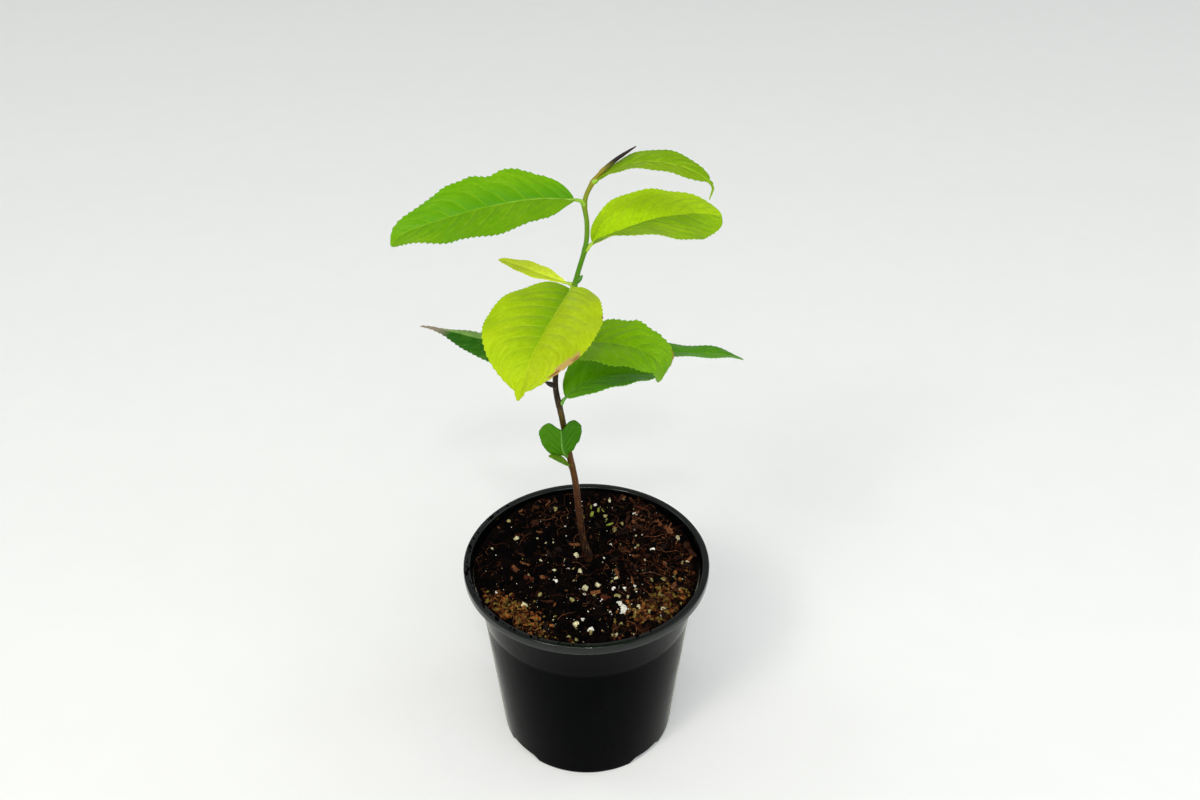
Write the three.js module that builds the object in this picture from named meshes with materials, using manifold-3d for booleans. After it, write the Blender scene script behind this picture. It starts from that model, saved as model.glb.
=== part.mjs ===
// Tea seedling in a round black nursery pot.
// Millimetres, +Z up. The origin is the middle of the pot's flat underside, and -Y is the front.
import * as THREE from 'three';
import * as BufferGeometryUtils from 'three/addons/utils/BufferGeometryUtils.js';
import Module from 'manifold-3d';

const wasm = await Module();
wasm.setup();

const CLEARANCE = 0.3; // gap between pieces that touch

// Pot: a straight tapered body, a flared collar above a small step, and a rolled lip.
const POT = {
  baseRadius: 38.6,
  bodyTopRadius: 45.2,
  bodyTop: 68,
  stepOut: 0.8,
  stepTop: 70,
  collarTopRadius: 49.8,
  lipBottom: 87.8,
  lipRadius: 52.5,
  height: 92,
  lipInnerRadius: 49.5,
  wall: 1.2,
  floor: 1.5,
  segments: 48,
};

// Four drain notches round the foot, set on the diagonals.
const NOTCH = { count: 4, firstAngle: 43, baseWidth: 18, topWidth: 12, height: 2.8, depth: 5 };

// Compost: filled to just under the lip, heaped at the back, with a slight dip where the stem stands.
const SOIL = {
  edgeHeight: 87.2, crown: 0.9, heap: 3.6, dip: 1.6, dipRadius: 9,
  lump: 0.45, lumpLength: 20, bottom: 1.8, rings: 8,
};

// Main stem, from the compost to the foot of the end bud: it leans back to the left, then sways right.
const STEM_PATH = [
  [1.3, 6.8, 86.4],
  [-1.6, 6.9, 98],
  [-3.1, 6.4, 113],
  [-4.4, 5.7, 129],
  [-6.9, 5.5, 145],
  [-9.4, 6.2, 161],
  [-11.8, 7.6, 176],
  [-10, 8.3, 191],
  [-6.6, 7.9, 208],
  [-2.9, 6.8, 224],
  [0.5, 6.2, 237],
  [1.1, 6.4, 246],
  [0.3, 7, 254],
  [2.6, 7.3, 260.5],
  [6.6, 7.2, 266],
];
const STEM = { footRadius: 1.65, tipRadius: 0.85, taperPower: 1.6, sides: 10, steps: 46, footMargin: 0.3 };

// End bud: a closed pointed spear over the last bend of the stem.
const BUD = {
  start: [6.9, 7.2, 266.4], bend: [12, 6.9, 271.2], tip: [18.4, 6.5, 275.6],
  radius: 1, tipRadius: 0.12, sides: 8, steps: 8,
};

// Side buds that sit in the leaf axils, as height on the stem, angle round it, rise and size.
const AXIL_BUDS = [
  { height: 175.4, angle: 200, rise: 34, length: 3.8, radius: 1.2 },
  { height: 222, angle: -8, rise: 44, length: 3.4, radius: 1.3 },
];

// Leaves, from the lowest to the highest. The midrib runs through its points from the stem to the
// leaf tip. Angles are in degrees: roll turns the blade about its midrib, fold lifts each half.
// The heart-shaped leaf ends in two lobes: notch draws its middle back, and corner its outer edges.
const LEAVES = {
  leaf_heart: {
    midrib: [[-7.6, 5.5, 143], [-8.2, 2.9, 145], [-9.2, 1.3, 149.5], [-9.6, 0.7, 162]],
    petiole: 2.6, width: 18.5, widest: 0.8, baseBlunt: 0.6, tipBlunt: 0.6, notch: 0.27, corner: 0.3,
    roll: [34, 34], fold: [16, 22], wave: 0.2, color: '#3f8c0c',
  },
  leaf_tiny: {
    midrib: [[-5.8, 5.5, 137.6], [-8, 3.9, 139.6], [-11, 2.7, 142], [-15, 1.3, 144.6]],
    petiole: 1.5, width: 4.2, widest: 0.9, baseBlunt: 0.8, tipBlunt: 0.9, notch: 0, corner: 0,
    roll: [-10, -10], fold: [15, 15], wave: 0, color: '#4b9a10',
  },
  leaf_lower_right: {
    midrib: [
      [-10.2, 6.8, 167], [-7, 8, 170.5], [-0.5, 11, 174.5],
      [10.5, 16, 175.5], [24, 21, 172.5], [30, 23, 169],
    ],
    petiole: 4, width: 27, widest: 0.83, baseBlunt: 0.75, tipBlunt: 0.85, notch: 0, corner: 0,
    roll: [8, 0], fold: [20, 14], wave: 0.4, color: '#2f7d06',
  },
  leaf_left_narrow: {
    midrib: [
      [-9.8, 8.2, 187.5], [-19, 12, 189], [-41, 19.5, 189.8],
      [-52.5, 23, 191], [-66.5, 27, 191.5],
    ],
    petiole: 3, width: 18, widest: 0.7, baseBlunt: 0.8, tipBlunt: 1.6, notch: 0, corner: 0,
    roll: [-6, -6], fold: [-25, -20], wave: 0.3, color: '#2f7f12',
  },
  leaf_right_broad: {
    midrib: [
      [-9, 8.3, 194.5], [-0.5, 5, 197], [10.5, 0.5, 199.5],
      [21.5, -4, 199], [28, -7, 195.5], [28.5, -9, 188],
    ],
    petiole: 3, width: 28, widest: 0.84, baseBlunt: 0.64, tipBlunt: 0.55, notch: 0, corner: 0,
    roll: [8, 6], fold: [6, 4], wave: 0.5, color: '#72af0a',
  },
  leaf_far_right: {
    midrib: [
      [-9.6, 8.3, 189.5], [2.5, 11, 189.5], [19.5, 15.5, 187],
      [41, 20, 183], [54, 23, 180.8], [64, 25, 177],
    ],
    petiole: 4, width: 18, widest: 0.92, baseBlunt: 0.8, tipBlunt: 0.55, notch: 0, corner: 0,
    roll: [-30, -14], fold: [6, 8], wave: 0.4, color: '#3f9010',
  },
  leaf_front_broad: {
    midrib: [
      [-4, 7.1, 219.5], [-5, 3.2, 221], [-8, -9, 222],
      [-13.5, -29, 221.5], [-17.5, -44, 220], [-21.5, -59, 213.5],
    ],
    petiole: 4, width: 42, widest: 1.15, baseBlunt: 0.5, tipBlunt: 0.76, notch: 0, corner: 0,
    roll: [-3, 5], fold: [24, 4], wave: 0.5, color: '#a8cc0a',
  },
  leaf_small_left: {
    midrib: [
      [-3.7, 7, 220.5], [-8.5, 10.1, 220.8], [-17, 16, 220.8],
      [-24.5, 21, 221.3], [-33.5, 26, 221.8],
    ],
    petiole: 3, width: 9, widest: 0.95, baseBlunt: 1.25, tipBlunt: 0.7, notch: 0, corner: 0,
    roll: [0, -5], fold: [10, 10], wave: 0.2, color: '#bfe12c',
  },
  leaf_upper_right: {
    midrib: [
      [0.3, 6.3, 235.5], [4, 7.1, 238.5], [14.5, 10.8, 242], [25, 15, 244],
      [34.5, 18.5, 244], [42.5, 22, 243], [52, 25, 240.5],
    ],
    petiole: 4, width: 32, widest: 0.8, baseBlunt: 0.65, tipBlunt: 0.42, notch: 0, corner: 0,
    roll: [-9, 30], fold: [28, -14], wave: 0.3, color: '#98c608',
  },
  leaf_upper_left: {
    midrib: [
      [0.4, 6.9, 253], [-2.5, 6.1, 255.5], [-17, 4, 257], [-35, 2, 254.5],
      [-52.5, 0, 250], [-64, -1.5, 246], [-69, -2, 241.5],
    ],
    petiole: 5, width: 29, widest: 0.83, baseBlunt: 0.8, tipBlunt: 0.7, notch: 0, corner: 0,
    roll: [-22, -24], fold: [8, 6], wave: 0.7, color: '#62a608',
  },
  leaf_top_arched: {
    midrib: [
      [3.4, 7.3, 261.8], [10.5, 5.3, 267.5], [21, 1.1, 272.2], [30.5, -3, 273],
      [38.5, -6, 271.2], [44.2, -8, 267.2], [43.5, -9, 262.5],
    ],
    petiole: 2, width: 13.5, widest: 0.93, baseBlunt: 0.6, tipBlunt: 1.15, notch: 0, corner: 0,
    roll: [4, 2], fold: [10, 12], wave: 0.3, color: '#7fb40a',
  },
};
const BLADE = {
  thickness: 0.8, edgeThickness: 0.5, tipHalfWidth: 0.4,
  bulge: 0.1, waves: 3.5, across: 6, along: 14,
};
const PETIOLE = { footRadius: 0.9, endRadius: 0.5, intoBlade: 0.3, sides: 6, steps: 8 };

const toRadians = THREE.MathUtils.degToRad;
const lerp = THREE.MathUtils.lerp;
const vector = (point) => new THREE.Vector3(...point);
const UP = new THREE.Vector3(0, 0, 1);
const BACK = new THREE.Vector3(0, 1, 0);

// Turns a closed geometry into a solid that can be joined and cut.
function toSolid(geometry) {
  const bare = geometry.clone();
  bare.deleteAttribute('normal');
  bare.deleteAttribute('uv');
  const merged = BufferGeometryUtils.mergeVertices(bare, 1e-4);
  const vertProperties = new Float32Array(merged.attributes.position.array);
  const triVerts = new Uint32Array(merged.index.array);
  return new wasm.Manifold(new wasm.Mesh({ numProp: 3, vertProperties, triVerts }));
}

function toGeometry(solid) {
  const mesh = solid.getMesh();
  const geometry = new THREE.BufferGeometry();
  geometry.setAttribute('position', new THREE.BufferAttribute(new Float32Array(mesh.vertProperties), 3));
  geometry.setIndex(new THREE.BufferAttribute(new Uint32Array(mesh.triVerts), 1));
  geometry.computeVertexNormals();
  return geometry;
}

// Moves every vertex of a geometry to where place(x, y, z) puts it.
function reshape(geometry, place) {
  const position = geometry.attributes.position;
  for (let i = 0; i < position.count; i += 1) {
    const moved = place(position.getX(i), position.getY(i), position.getZ(i));
    position.setXYZ(i, moved.x, moved.y, moved.z);
  }
  return geometry;
}

// The part of a direction that is square to the tangent.
function squareTo(tangent, direction) {
  return direction.clone().addScaledVector(tangent, -direction.dot(tangent)).normalize();
}

// A round tapered rod along a curve, closed at both ends. radiusAt gives its radius from 0 to 1,
// and its sides are counted from the reference direction.
function makeRod(curve, reference, radiusAt, sides, steps, from = 0, to = 1) {
  const rod = new THREE.CylinderGeometry(1, 1, 1, sides, steps);
  return reshape(rod, (x, y, z) => {
    const along = y + 0.5;
    const tangent = curve.getTangentAt(lerp(from, to, along));
    const side = squareTo(tangent, reference);
    const across = tangent.clone().cross(side);
    const radius = radiusAt(along);
    return curve.getPointAt(lerp(from, to, along))
      .addScaledVector(side, z * radius)
      .addScaledVector(across, x * radius);
  });
}

function addMesh(group, name, geometry, color, roughness) {
  const material = new THREE.MeshStandardMaterial({ color, roughness, metalness: 0 });
  const mesh = new THREE.Mesh(geometry, material);
  mesh.name = name;
  group.add(mesh);
}

// The pot's inner radius at a height, used by the wall and by the compost inside it.
function potInnerRadius(z) {
  if (z <= POT.bodyTop) {
    return lerp(POT.baseRadius, POT.bodyTopRadius, z / POT.bodyTop) - POT.wall;
  }
  const collar = (z - POT.bodyTop) / (POT.lipBottom - POT.bodyTop);
  return lerp(POT.bodyTopRadius + POT.stepOut / 2, POT.collarTopRadius, collar) - POT.wall;
}

function makePot() {
  const stepRadius = POT.bodyTopRadius + POT.stepOut;
  const profile = [
    [0, 0],
    [POT.baseRadius - 0.6, 0],
    [POT.baseRadius, 0.8],
    [POT.bodyTopRadius, POT.bodyTop],
    [stepRadius, POT.stepTop],
    [POT.collarTopRadius, POT.lipBottom],
    [POT.lipRadius - 0.5, POT.lipBottom + 0.3],
    [POT.lipRadius, POT.lipBottom + 1],
    [POT.lipRadius, POT.height - 1.1],
    [POT.lipRadius - 0.4, POT.height - 0.3],
    [POT.lipRadius - 1.2, POT.height],
    [POT.lipInnerRadius + 0.8, POT.height],
    [POT.lipInnerRadius + 0.1, POT.height - 0.7],
    [potInnerRadius(POT.lipBottom), POT.lipBottom],
    [potInnerRadius(POT.stepTop), POT.stepTop],
    [potInnerRadius(POT.bodyTop), POT.bodyTop],
    [potInnerRadius(POT.floor), POT.floor],
    [0, POT.floor],
  ].map(([radius, z]) => new THREE.Vector2(radius, z));
  const shell = new THREE.LatheGeometry(profile, POT.segments);
  shell.rotateX(Math.PI / 2);
  let pot = toSolid(shell);
  const outline = new THREE.Shape([
    new THREE.Vector2(-NOTCH.baseWidth / 2, -1),
    new THREE.Vector2(NOTCH.baseWidth / 2, -1),
    new THREE.Vector2(NOTCH.topWidth / 2, NOTCH.height),
    new THREE.Vector2(-NOTCH.topWidth / 2, NOTCH.height),
  ]);
  for (let i = 0; i < NOTCH.count; i += 1) {
    const notch = new THREE.ExtrudeGeometry(outline, { depth: 2 * NOTCH.depth, bevelEnabled: false });
    notch.rotateX(Math.PI / 2);
    notch.rotateZ(Math.PI / 2);
    notch.translate(POT.baseRadius - NOTCH.depth, 0, 0);
    notch.rotateZ(toRadians(NOTCH.firstAngle + (i * 360) / NOTCH.count));
    pot = pot.subtract(toSolid(notch));
  }
  return toGeometry(pot);
}

// Height of the compost's surface: a low crown, a heap at the back, a dip at the stem and small lumps.
function soilHeight(x, y) {
  const [stemX, stemY] = STEM_PATH[0];
  const edge = potInnerRadius(SOIL.edgeHeight);
  const fromMiddle = Math.hypot(x, y) / edge;
  const fromStem = Math.hypot(x - stemX, y - stemY) / SOIL.dipRadius;
  const crown = SOIL.crown * (1 - fromMiddle ** 2);
  const heap = SOIL.heap * Math.max(0, y / edge) ** 2;
  const dip = SOIL.dip * Math.exp(-(fromStem ** 2));
  const fade = 1 - fromMiddle ** 4;
  const turn = (2 * Math.PI) / SOIL.lumpLength;
  const lumps = Math.sin(turn * x + 1) * Math.cos(turn * y) + Math.sin(2 * turn * (x - y)) / 2;
  return SOIL.edgeHeight + crown + heap - dip + fade * SOIL.lump * lumps;
}

function makeSoil() {
  const edge = potInnerRadius(SOIL.edgeHeight) - CLEARANCE;
  const profile = [new THREE.Vector2(0, SOIL.bottom)];
  for (const z of [SOIL.bottom, POT.bodyTop, POT.stepTop]) {
    profile.push(new THREE.Vector2(potInnerRadius(z) - CLEARANCE, z));
  }
  for (let ring = 0; ring <= SOIL.rings; ring += 1) {
    profile.push(new THREE.Vector2(edge * (1 - ring / SOIL.rings), SOIL.edgeHeight));
  }
  const soil = new THREE.LatheGeometry(profile, POT.segments);
  soil.rotateX(Math.PI / 2);
  return reshape(soil, (x, y, z) => new THREE.Vector3(x, y, z > POT.stepTop + 1 ? soilHeight(x, y) : z));
}

const stemCurve = new THREE.CatmullRomCurve3(STEM_PATH.map(vector), false, 'catmullrom', 0.5);
const stemRadius = (along) => (
  STEM.tipRadius + (STEM.footRadius - STEM.tipRadius) * Math.max(0, 1 - along) ** STEM.taperPower
);

function stemPlaceAtHeight(height) {
  let low = 0;
  let high = 1;
  for (let i = 0; i < 30; i += 1) {
    const middle = (low + high) / 2;
    if (stemCurve.getPointAt(middle).z < height) {
      low = middle;
    } else {
      high = middle;
    }
  }
  return low;
}

function makeAxilBud({ height, angle, rise, length, radius }) {
  const along = stemPlaceAtHeight(height);
  const lean = toRadians(rise);
  const turn = toRadians(angle);
  const outward = new THREE.Vector3(
    Math.cos(lean) * Math.cos(turn),
    Math.cos(lean) * Math.sin(turn),
    Math.sin(lean),
  );
  const bud = new THREE.SphereGeometry(1, 10, 8);
  bud.scale(radius, length / 2, radius);
  bud.applyQuaternion(new THREE.Quaternion().setFromUnitVectors(new THREE.Vector3(0, 1, 0), outward));
  const middle = stemCurve.getPointAt(along).addScaledVector(outward, stemRadius(along) + length * 0.25);
  bud.translate(middle.x, middle.y, middle.z);
  return toSolid(bud);
}

function makeStem() {
  let stem = toSolid(makeRod(stemCurve, BACK, stemRadius, STEM.sides, STEM.steps));
  for (const bud of AXIL_BUDS) {
    stem = stem.add(makeAxilBud(bud));
  }
  const [footX, footY] = STEM_PATH[0];
  const ground = soilHeight(footX, footY) + CLEARANCE + STEM.footMargin;
  const below = new THREE.BoxGeometry(20, 20, 10);
  below.translate(footX, footY, ground - 5);
  return stem.subtract(toSolid(below));
}

function makeBud(margin) {
  const path = new THREE.QuadraticBezierCurve3(vector(BUD.start), vector(BUD.bend), vector(BUD.tip));
  const spear = (along) => {
    const swell = 0.85 + 0.6 * along * (1 - along);
    return margin + BUD.tipRadius + (BUD.radius - BUD.tipRadius) * Math.sqrt(1 - along) * swell;
  };
  return makeRod(path, BACK, spear, BUD.sides, BUD.steps);
}

// Half width of a blade, from 0 at its base to 1 at its tip.
function bladeHalfWidth(leaf, along) {
  const blunt = lerp(leaf.baseBlunt, leaf.tipBlunt, along);
  const turn = leaf.corner > 0 ? Math.PI / 2 : Math.PI;
  const outline = Math.max(0, Math.sin(turn * along ** leaf.widest)) ** blunt;
  return Math.max(BLADE.tipHalfWidth, (leaf.width / 2) * outline);
}

// A thin closed blade laid along the midrib, from a box whose sides run across and along it.
function makeBlade(leaf, curve, level, start) {
  const blade = new THREE.BoxGeometry(2, 1, 1, BLADE.across, BLADE.along, 1);
  return reshape(blade, (x, y, z) => {
    const away = Math.abs(x);
    const along = y + 0.5;
    const reach = along * (1 - leaf.notch * Math.exp(-((x / 0.4) ** 2)) - leaf.corner * away ** 3);
    const place = lerp(start, 1, reach);
    const tangent = curve.getTangentAt(place);
    const roll = toRadians(lerp(leaf.roll[0], leaf.roll[1], along));
    const side = squareTo(tangent, level).applyAxisAngle(tangent, roll);
    const up = side.clone().cross(tangent);
    const fold = toRadians(lerp(leaf.fold[0], leaf.fold[1], along));
    const half = bladeHalfWidth(leaf, along);
    const wave = leaf.wave * away ** 2 * Math.sin(BLADE.waves * 2 * Math.PI * along + (x > 0 ? 0 : 2));
    const rise = half * (away * Math.sin(fold) + BLADE.bulge * away * (1 - away)) + wave;
    const thickness = lerp(BLADE.thickness, BLADE.edgeThickness, away);
    return curve.getPointAt(place)
      .addScaledVector(side, half * x * Math.cos(fold))
      .addScaledVector(up, rise + z * thickness);
  });
}

// A leaf: its blade and the round stalk under its midrib, cut clear of the stem.
function makeLeaf(leaf, stemSpace) {
  const curve = new THREE.CatmullRomCurve3(leaf.midrib.map(vector), false, 'catmullrom', 0.5);
  const chord = vector(leaf.midrib.at(-1)).sub(vector(leaf.midrib[0]));
  const level = chord.cross(UP).normalize();
  const start = leaf.petiole / curve.getLength();
  const stalkEnd = start + PETIOLE.intoBlade * (1 - start);
  const foot = Math.min(PETIOLE.footRadius, leaf.width / 8);
  const stalkRadius = (along) => lerp(foot, Math.min(PETIOLE.endRadius, foot * 0.7), along);
  const blade = toSolid(makeBlade(leaf, curve, level, start));
  const stalk = toSolid(makeRod(curve, level, stalkRadius, PETIOLE.sides, PETIOLE.steps, 0, stalkEnd));
  const pieces = blade.add(stalk).subtract(stemSpace).decompose();
  pieces.sort((a, b) => b.volume() - a.volume());
  return toGeometry(pieces[0]);
}

const seedling = new THREE.Group();
addMesh(seedling, 'pot', makePot(), '#0b0c0d', 0.25);
addMesh(seedling, 'soil', makeSoil(), '#1d130d', 1);
const stemSolid = makeStem();
addMesh(seedling, 'stem', toGeometry(stemSolid), '#5a3a1c', 0.7);
addMesh(seedling, 'tip_bud', makeBud(0), '#2a2018', 0.5);
const wideRadius = (along) => stemRadius(along) + CLEARANCE;
const stemWithMargin = makeRod(stemCurve, BACK, wideRadius, STEM.sides, STEM.steps);
const jointSpace = new THREE.SphereGeometry(BUD.radius + 2 * CLEARANCE, 12, 8);
jointSpace.translate(...BUD.start);
const stemSpace = toSolid(stemWithMargin).add(toSolid(makeBud(CLEARANCE))).add(toSolid(jointSpace));
for (const [name, leaf] of Object.entries(LEAVES)) {
  addMesh(seedling, name, makeLeaf(leaf, stemSpace), leaf.color, 0.45);
}

export default seedling;
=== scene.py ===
import math

import bpy
import numpy as np
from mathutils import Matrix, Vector
from mathutils.bvhtree import BVHTree


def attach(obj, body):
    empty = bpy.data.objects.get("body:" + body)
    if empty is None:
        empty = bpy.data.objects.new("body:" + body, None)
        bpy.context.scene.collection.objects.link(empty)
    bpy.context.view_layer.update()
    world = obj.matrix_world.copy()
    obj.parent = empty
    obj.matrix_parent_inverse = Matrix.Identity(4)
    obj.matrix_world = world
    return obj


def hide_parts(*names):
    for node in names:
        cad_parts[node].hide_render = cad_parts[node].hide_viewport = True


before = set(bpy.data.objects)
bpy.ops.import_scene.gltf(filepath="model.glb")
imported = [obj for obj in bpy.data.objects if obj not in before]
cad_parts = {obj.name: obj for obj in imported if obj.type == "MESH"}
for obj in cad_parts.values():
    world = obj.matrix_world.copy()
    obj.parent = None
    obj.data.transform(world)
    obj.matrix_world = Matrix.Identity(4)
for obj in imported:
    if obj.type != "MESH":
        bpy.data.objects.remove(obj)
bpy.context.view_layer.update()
bpy.ops.object.select_all(action='DESELECT')

mm = 0.001  # the frame is in metres, and the sizes below are in millimetres
mergeDistance = 0.002 * mm
up = np.array([0.0, 0.0, 1.0])
back = np.array([0.0, 1.0, 0.0])


# Small tools

def pickOut(piece):
    if bpy.context.object and bpy.context.object.mode != 'OBJECT':
        bpy.ops.object.mode_set(mode='OBJECT')
    bpy.ops.object.select_all(action='DESELECT')
    piece.select_set(True)
    bpy.context.view_layer.objects.active = piece


def applyModifier(piece, kind, **settings):
    pickOut(piece)
    modifier = piece.modifiers.new(kind.lower(), kind)
    for key, value in settings.items():
        setattr(modifier, key, value)
    bpy.ops.object.modifier_apply(modifier=modifier.name)


def readPoints(piece):
    points = np.empty(len(piece.data.vertices) * 3)
    piece.data.vertices.foreach_get('co', points)
    return points.reshape(-1, 3)


def writePoints(piece, points):
    piece.data.vertices.foreach_set('co', points.ravel())
    piece.data.update()


def joinPieces(pieces):
    pickOut(pieces[0])
    for piece in pieces:
        piece.select_set(True)
    bpy.ops.object.join()
    return bpy.context.object


def cleanMesh(piece):
    # merges doubled points, closes open ends and turns all faces outwards
    pickOut(piece)
    bpy.ops.object.mode_set(mode='EDIT')
    bpy.ops.mesh.select_all(action='SELECT')
    bpy.ops.mesh.remove_doubles(threshold=mergeDistance)
    bpy.ops.mesh.select_all(action='DESELECT')
    bpy.ops.mesh.select_non_manifold()
    bpy.ops.mesh.fill_holes(sides=0)
    bpy.ops.mesh.select_all(action='SELECT')
    bpy.ops.mesh.normals_make_consistent(inside=False)
    bpy.ops.object.mode_set(mode='OBJECT')


def shadeSmooth(piece, angle=180):
    pickOut(piece)
    bpy.ops.object.shade_smooth_by_angle(angle=math.radians(angle))


def dress(piece, name, materials, nodes=()):
    piece.name = name
    piece.data.name = name
    for material in materials:
        piece.data.materials.append(material)
    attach(piece, "root")
    if nodes:
        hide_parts(*nodes)


def linear(hexColour):
    channels = [int(hexColour[i:i + 2], 16) / 255 for i in (1, 3, 5)]
    return [c / 12.92 if c <= 0.04045 else ((c + 0.055) / 1.055) ** 2.4 for c in channels] + [1.0]


def addNode(tree, kind, inputs=None, **settings):
    # inputs holds values, colours as hex, or nodes and sockets to link. A node gives its first live output
    node = tree.nodes.new('ShaderNode' + kind)
    for key, value in settings.items():
        setattr(node, key, value)
    for key, value in (inputs or {}).items():
        socket = node.inputs[key]
        if isinstance(value, bpy.types.Node):
            value = next(output for output in value.outputs if output.enabled)
        if isinstance(value, bpy.types.NodeSocket):
            tree.links.new(value, socket)
        else:
            socket.default_value = linear(value) if isinstance(value, str) else value
    return node


def startMaterial(name):
    # an empty material, its nodes, and the place of each point on its object
    material = bpy.data.materials.new(name)
    material.use_nodes = True
    tree = material.node_tree
    tree.nodes.clear()
    return material, tree, addNode(tree, 'TexCoord').outputs['Object']


def endMaterial(tree, inputs):
    shader = addNode(tree, 'BsdfPrincipled', inputs)
    addNode(tree, 'OutputMaterial', {'Surface': shader})


def perMetre(size):
    # scale of a pattern whose cells are this many millimetres wide
    return 1 / (size * mm)


def smoothStep(value, low, high):
    ramp = np.clip((value - low) / (high - low), 0, 1)
    return ramp * ramp * (3 - 2 * ramp)


def bell(value, middle, width):
    return np.exp(-((value - middle) / width) ** 2)


# Curves: a smooth spline through points, read by arc length from 0 to 1

class Path:
    def __init__(self, points, perSpan=60):
        points = np.array(points, float)
        ends = np.vstack([2 * points[0] - points[1], points, 2 * points[-1] - points[-2]])
        steps = np.linspace(0, 1, perSpan, endpoint=False)[:, None]
        spans = []
        for i in range(len(points) - 1):
            before, a, b, after = ends[i:i + 4]
            leave = (b - before) / 2
            arrive = (after - a) / 2
            spans.append(
                a + leave * steps + (3 * (b - a) - 2 * leave - arrive) * steps ** 2
                + (2 * (a - b) + leave + arrive) * steps ** 3
            )
        self.trail = np.vstack([*spans, points[-1:]])
        gaps = np.linalg.norm(np.diff(self.trail, axis=0), axis=1)
        self.reach = np.concatenate([[0], np.cumsum(gaps)])
        self.length = self.reach[-1]
        self.reach = self.reach / self.length
        heading = np.gradient(self.trail, self.reach, axis=0)
        self.heading = heading / np.linalg.norm(heading, axis=1)[:, None]

    def at(self, place):
        return np.stack([np.interp(place, self.reach, self.trail[:, i]) for i in range(3)], 1)

    def tangent(self, place):
        found = np.stack([np.interp(place, self.reach, self.heading[:, i]) for i in range(3)], 1)
        return unit(found)


def unit(vectors):
    return vectors / np.linalg.norm(vectors, axis=-1, keepdims=True)


def squareTo(tangent, direction):
    return unit(direction - tangent * np.sum(tangent * direction, axis=1)[:, None])


def rollTube(path, radiusAt, sides, steps, reference, start=0.0, end=1.0, drop=None):
    # a flat grid is wrapped round the path and closed: radiusAt(along, angle) is in mm
    bpy.ops.mesh.primitive_grid_add(x_subdivisions=sides, y_subdivisions=steps, size=2)
    tube = bpy.context.object
    flat = readPoints(tube)
    angle = np.pi * flat[:, 0]
    along = (flat[:, 1] + 1) / 2
    place = start + (end - start) * along
    tangent = path.tangent(place)
    side = squareTo(tangent, reference)
    over = np.cross(side, tangent)
    radius = radiusAt(along, angle)[:, None]
    centre = path.at(place)
    if drop is not None:
        centre = centre - over * drop(along)[:, None]
    points = centre + radius * (side * np.cos(angle)[:, None] + over * np.sin(angle)[:, None])
    writePoints(tube, points * mm)
    tube.data.uv_layers[0].name = 'ownMap'
    cleanMesh(tube)
    return tube


# Camera, light and floor

studio = {
    'cameraPlace': (0.0058, -0.388, 0.435), 'cameraTilt': 56.05, 'lens': 36, 'sensor': 36, 'nearest': 0.01,
    'floorSize': 30, 'floorColours': ('#f0f0ee', '#f3f3f1'), 'roomColour': '#f6f8fa', 'roomLight': 0.5,
    'sunPower': 0.5, 'sunSpread': 35, 'sunTurn': (38, 0, -32), 'lampAim': (0, 0, 0.15),
}
softBoxes = {
    'keyLight': {'place': (-0.65, -0.85, 1.2), 'size': (0.3, 0.3), 'power': 5.5, 'colour': '#fffaf0'},
    'frontFill': {'place': (0.15, -1.3, 1.0), 'size': (1.2, 1.2), 'power': 8, 'colour': '#ffffff'},
    'rightFill': {'place': (0.95, -0.6, 0.8), 'size': (0.7, 0.7), 'power': 2, 'colour': '#f4f8ff'},
    'leftSide': {'place': (-2.3, 0.7, 2.2), 'size': (1.2, 1.6), 'power': 9, 'colour': '#eefaf2'},
    'rightSide': {'place': (2.3, 0.6, 2.2), 'size': (1.2, 1.6), 'power': 9, 'colour': '#eefaf2'},
    'lipGlint': {'place': (0.05, -1.1, 1.5), 'size': (0.1, 0.1), 'power': 3, 'colour': '#ffffff'},
}


def setCamera():
    bpy.ops.object.camera_add(
        location=studio['cameraPlace'], rotation=(math.radians(studio['cameraTilt']), 0, 0))
    camera = bpy.context.object
    camera.data.lens = studio['lens']
    camera.data.sensor_width = studio['sensor']
    camera.data.clip_start = studio['nearest']
    bpy.context.scene.camera = camera


def hangSoftBox(name, box):
    toAim = Vector(studio['lampAim']) - Vector(box['place'])
    bpy.ops.object.light_add(
        type='AREA', location=box['place'], rotation=toAim.to_track_quat('-Z', 'Y').to_euler())
    lamp = bpy.context.object
    lamp.name = name
    lamp.data.shape = 'RECTANGLE'
    lamp.data.size, lamp.data.size_y = box['size']
    lamp.data.energy = box['power']
    lamp.data.color = linear(box['colour'])[:3]


def setDaylight():
    turn = [math.radians(angle) for angle in studio['sunTurn']]
    bpy.ops.object.light_add(type='SUN', location=(-1, -1, 2), rotation=turn)
    sun = bpy.context.object
    sun.name = 'softDaylight'
    sun.data.energy = studio['sunPower']
    sun.data.angle = math.radians(studio['sunSpread'])
    world = bpy.data.worlds.new('paleRoom')
    bpy.context.scene.world = world
    world.use_nodes = True
    tree = world.node_tree
    tree.nodes.clear()
    room = addNode(tree, 'Background', {0: studio['roomColour'], 1: studio['roomLight']})
    addNode(tree, 'OutputWorld', {'Surface': room})


def makePaperMaterial():
    # seamless studio paper: even, and without shine
    material, tree, place = startMaterial('mattPaper')
    grain = addNode(tree, 'TexNoise', {'Vector': place, 'Scale': perMetre(25), 'Detail': 2.0})
    low, high = studio['floorColours']
    tone = addNode(tree, 'Mix', {0: grain, 6: low, 7: high}, data_type='RGBA')
    endMaterial(tree, {'Base Color': tone, 'Roughness': 0.9})
    return material


def layFloor(material):
    bpy.ops.mesh.primitive_plane_add(size=studio['floorSize'])
    floor = bpy.context.object
    floor.name = 'floor'
    floor.data.materials.append(material)


bpy.context.scene.view_settings.view_transform = 'Standard'
setCamera()
for boxName, box in softBoxes.items():
    hangSoftBox(boxName, box)
setDaylight()
layFloor(makePaperMaterial())
print('studio set')


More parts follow.
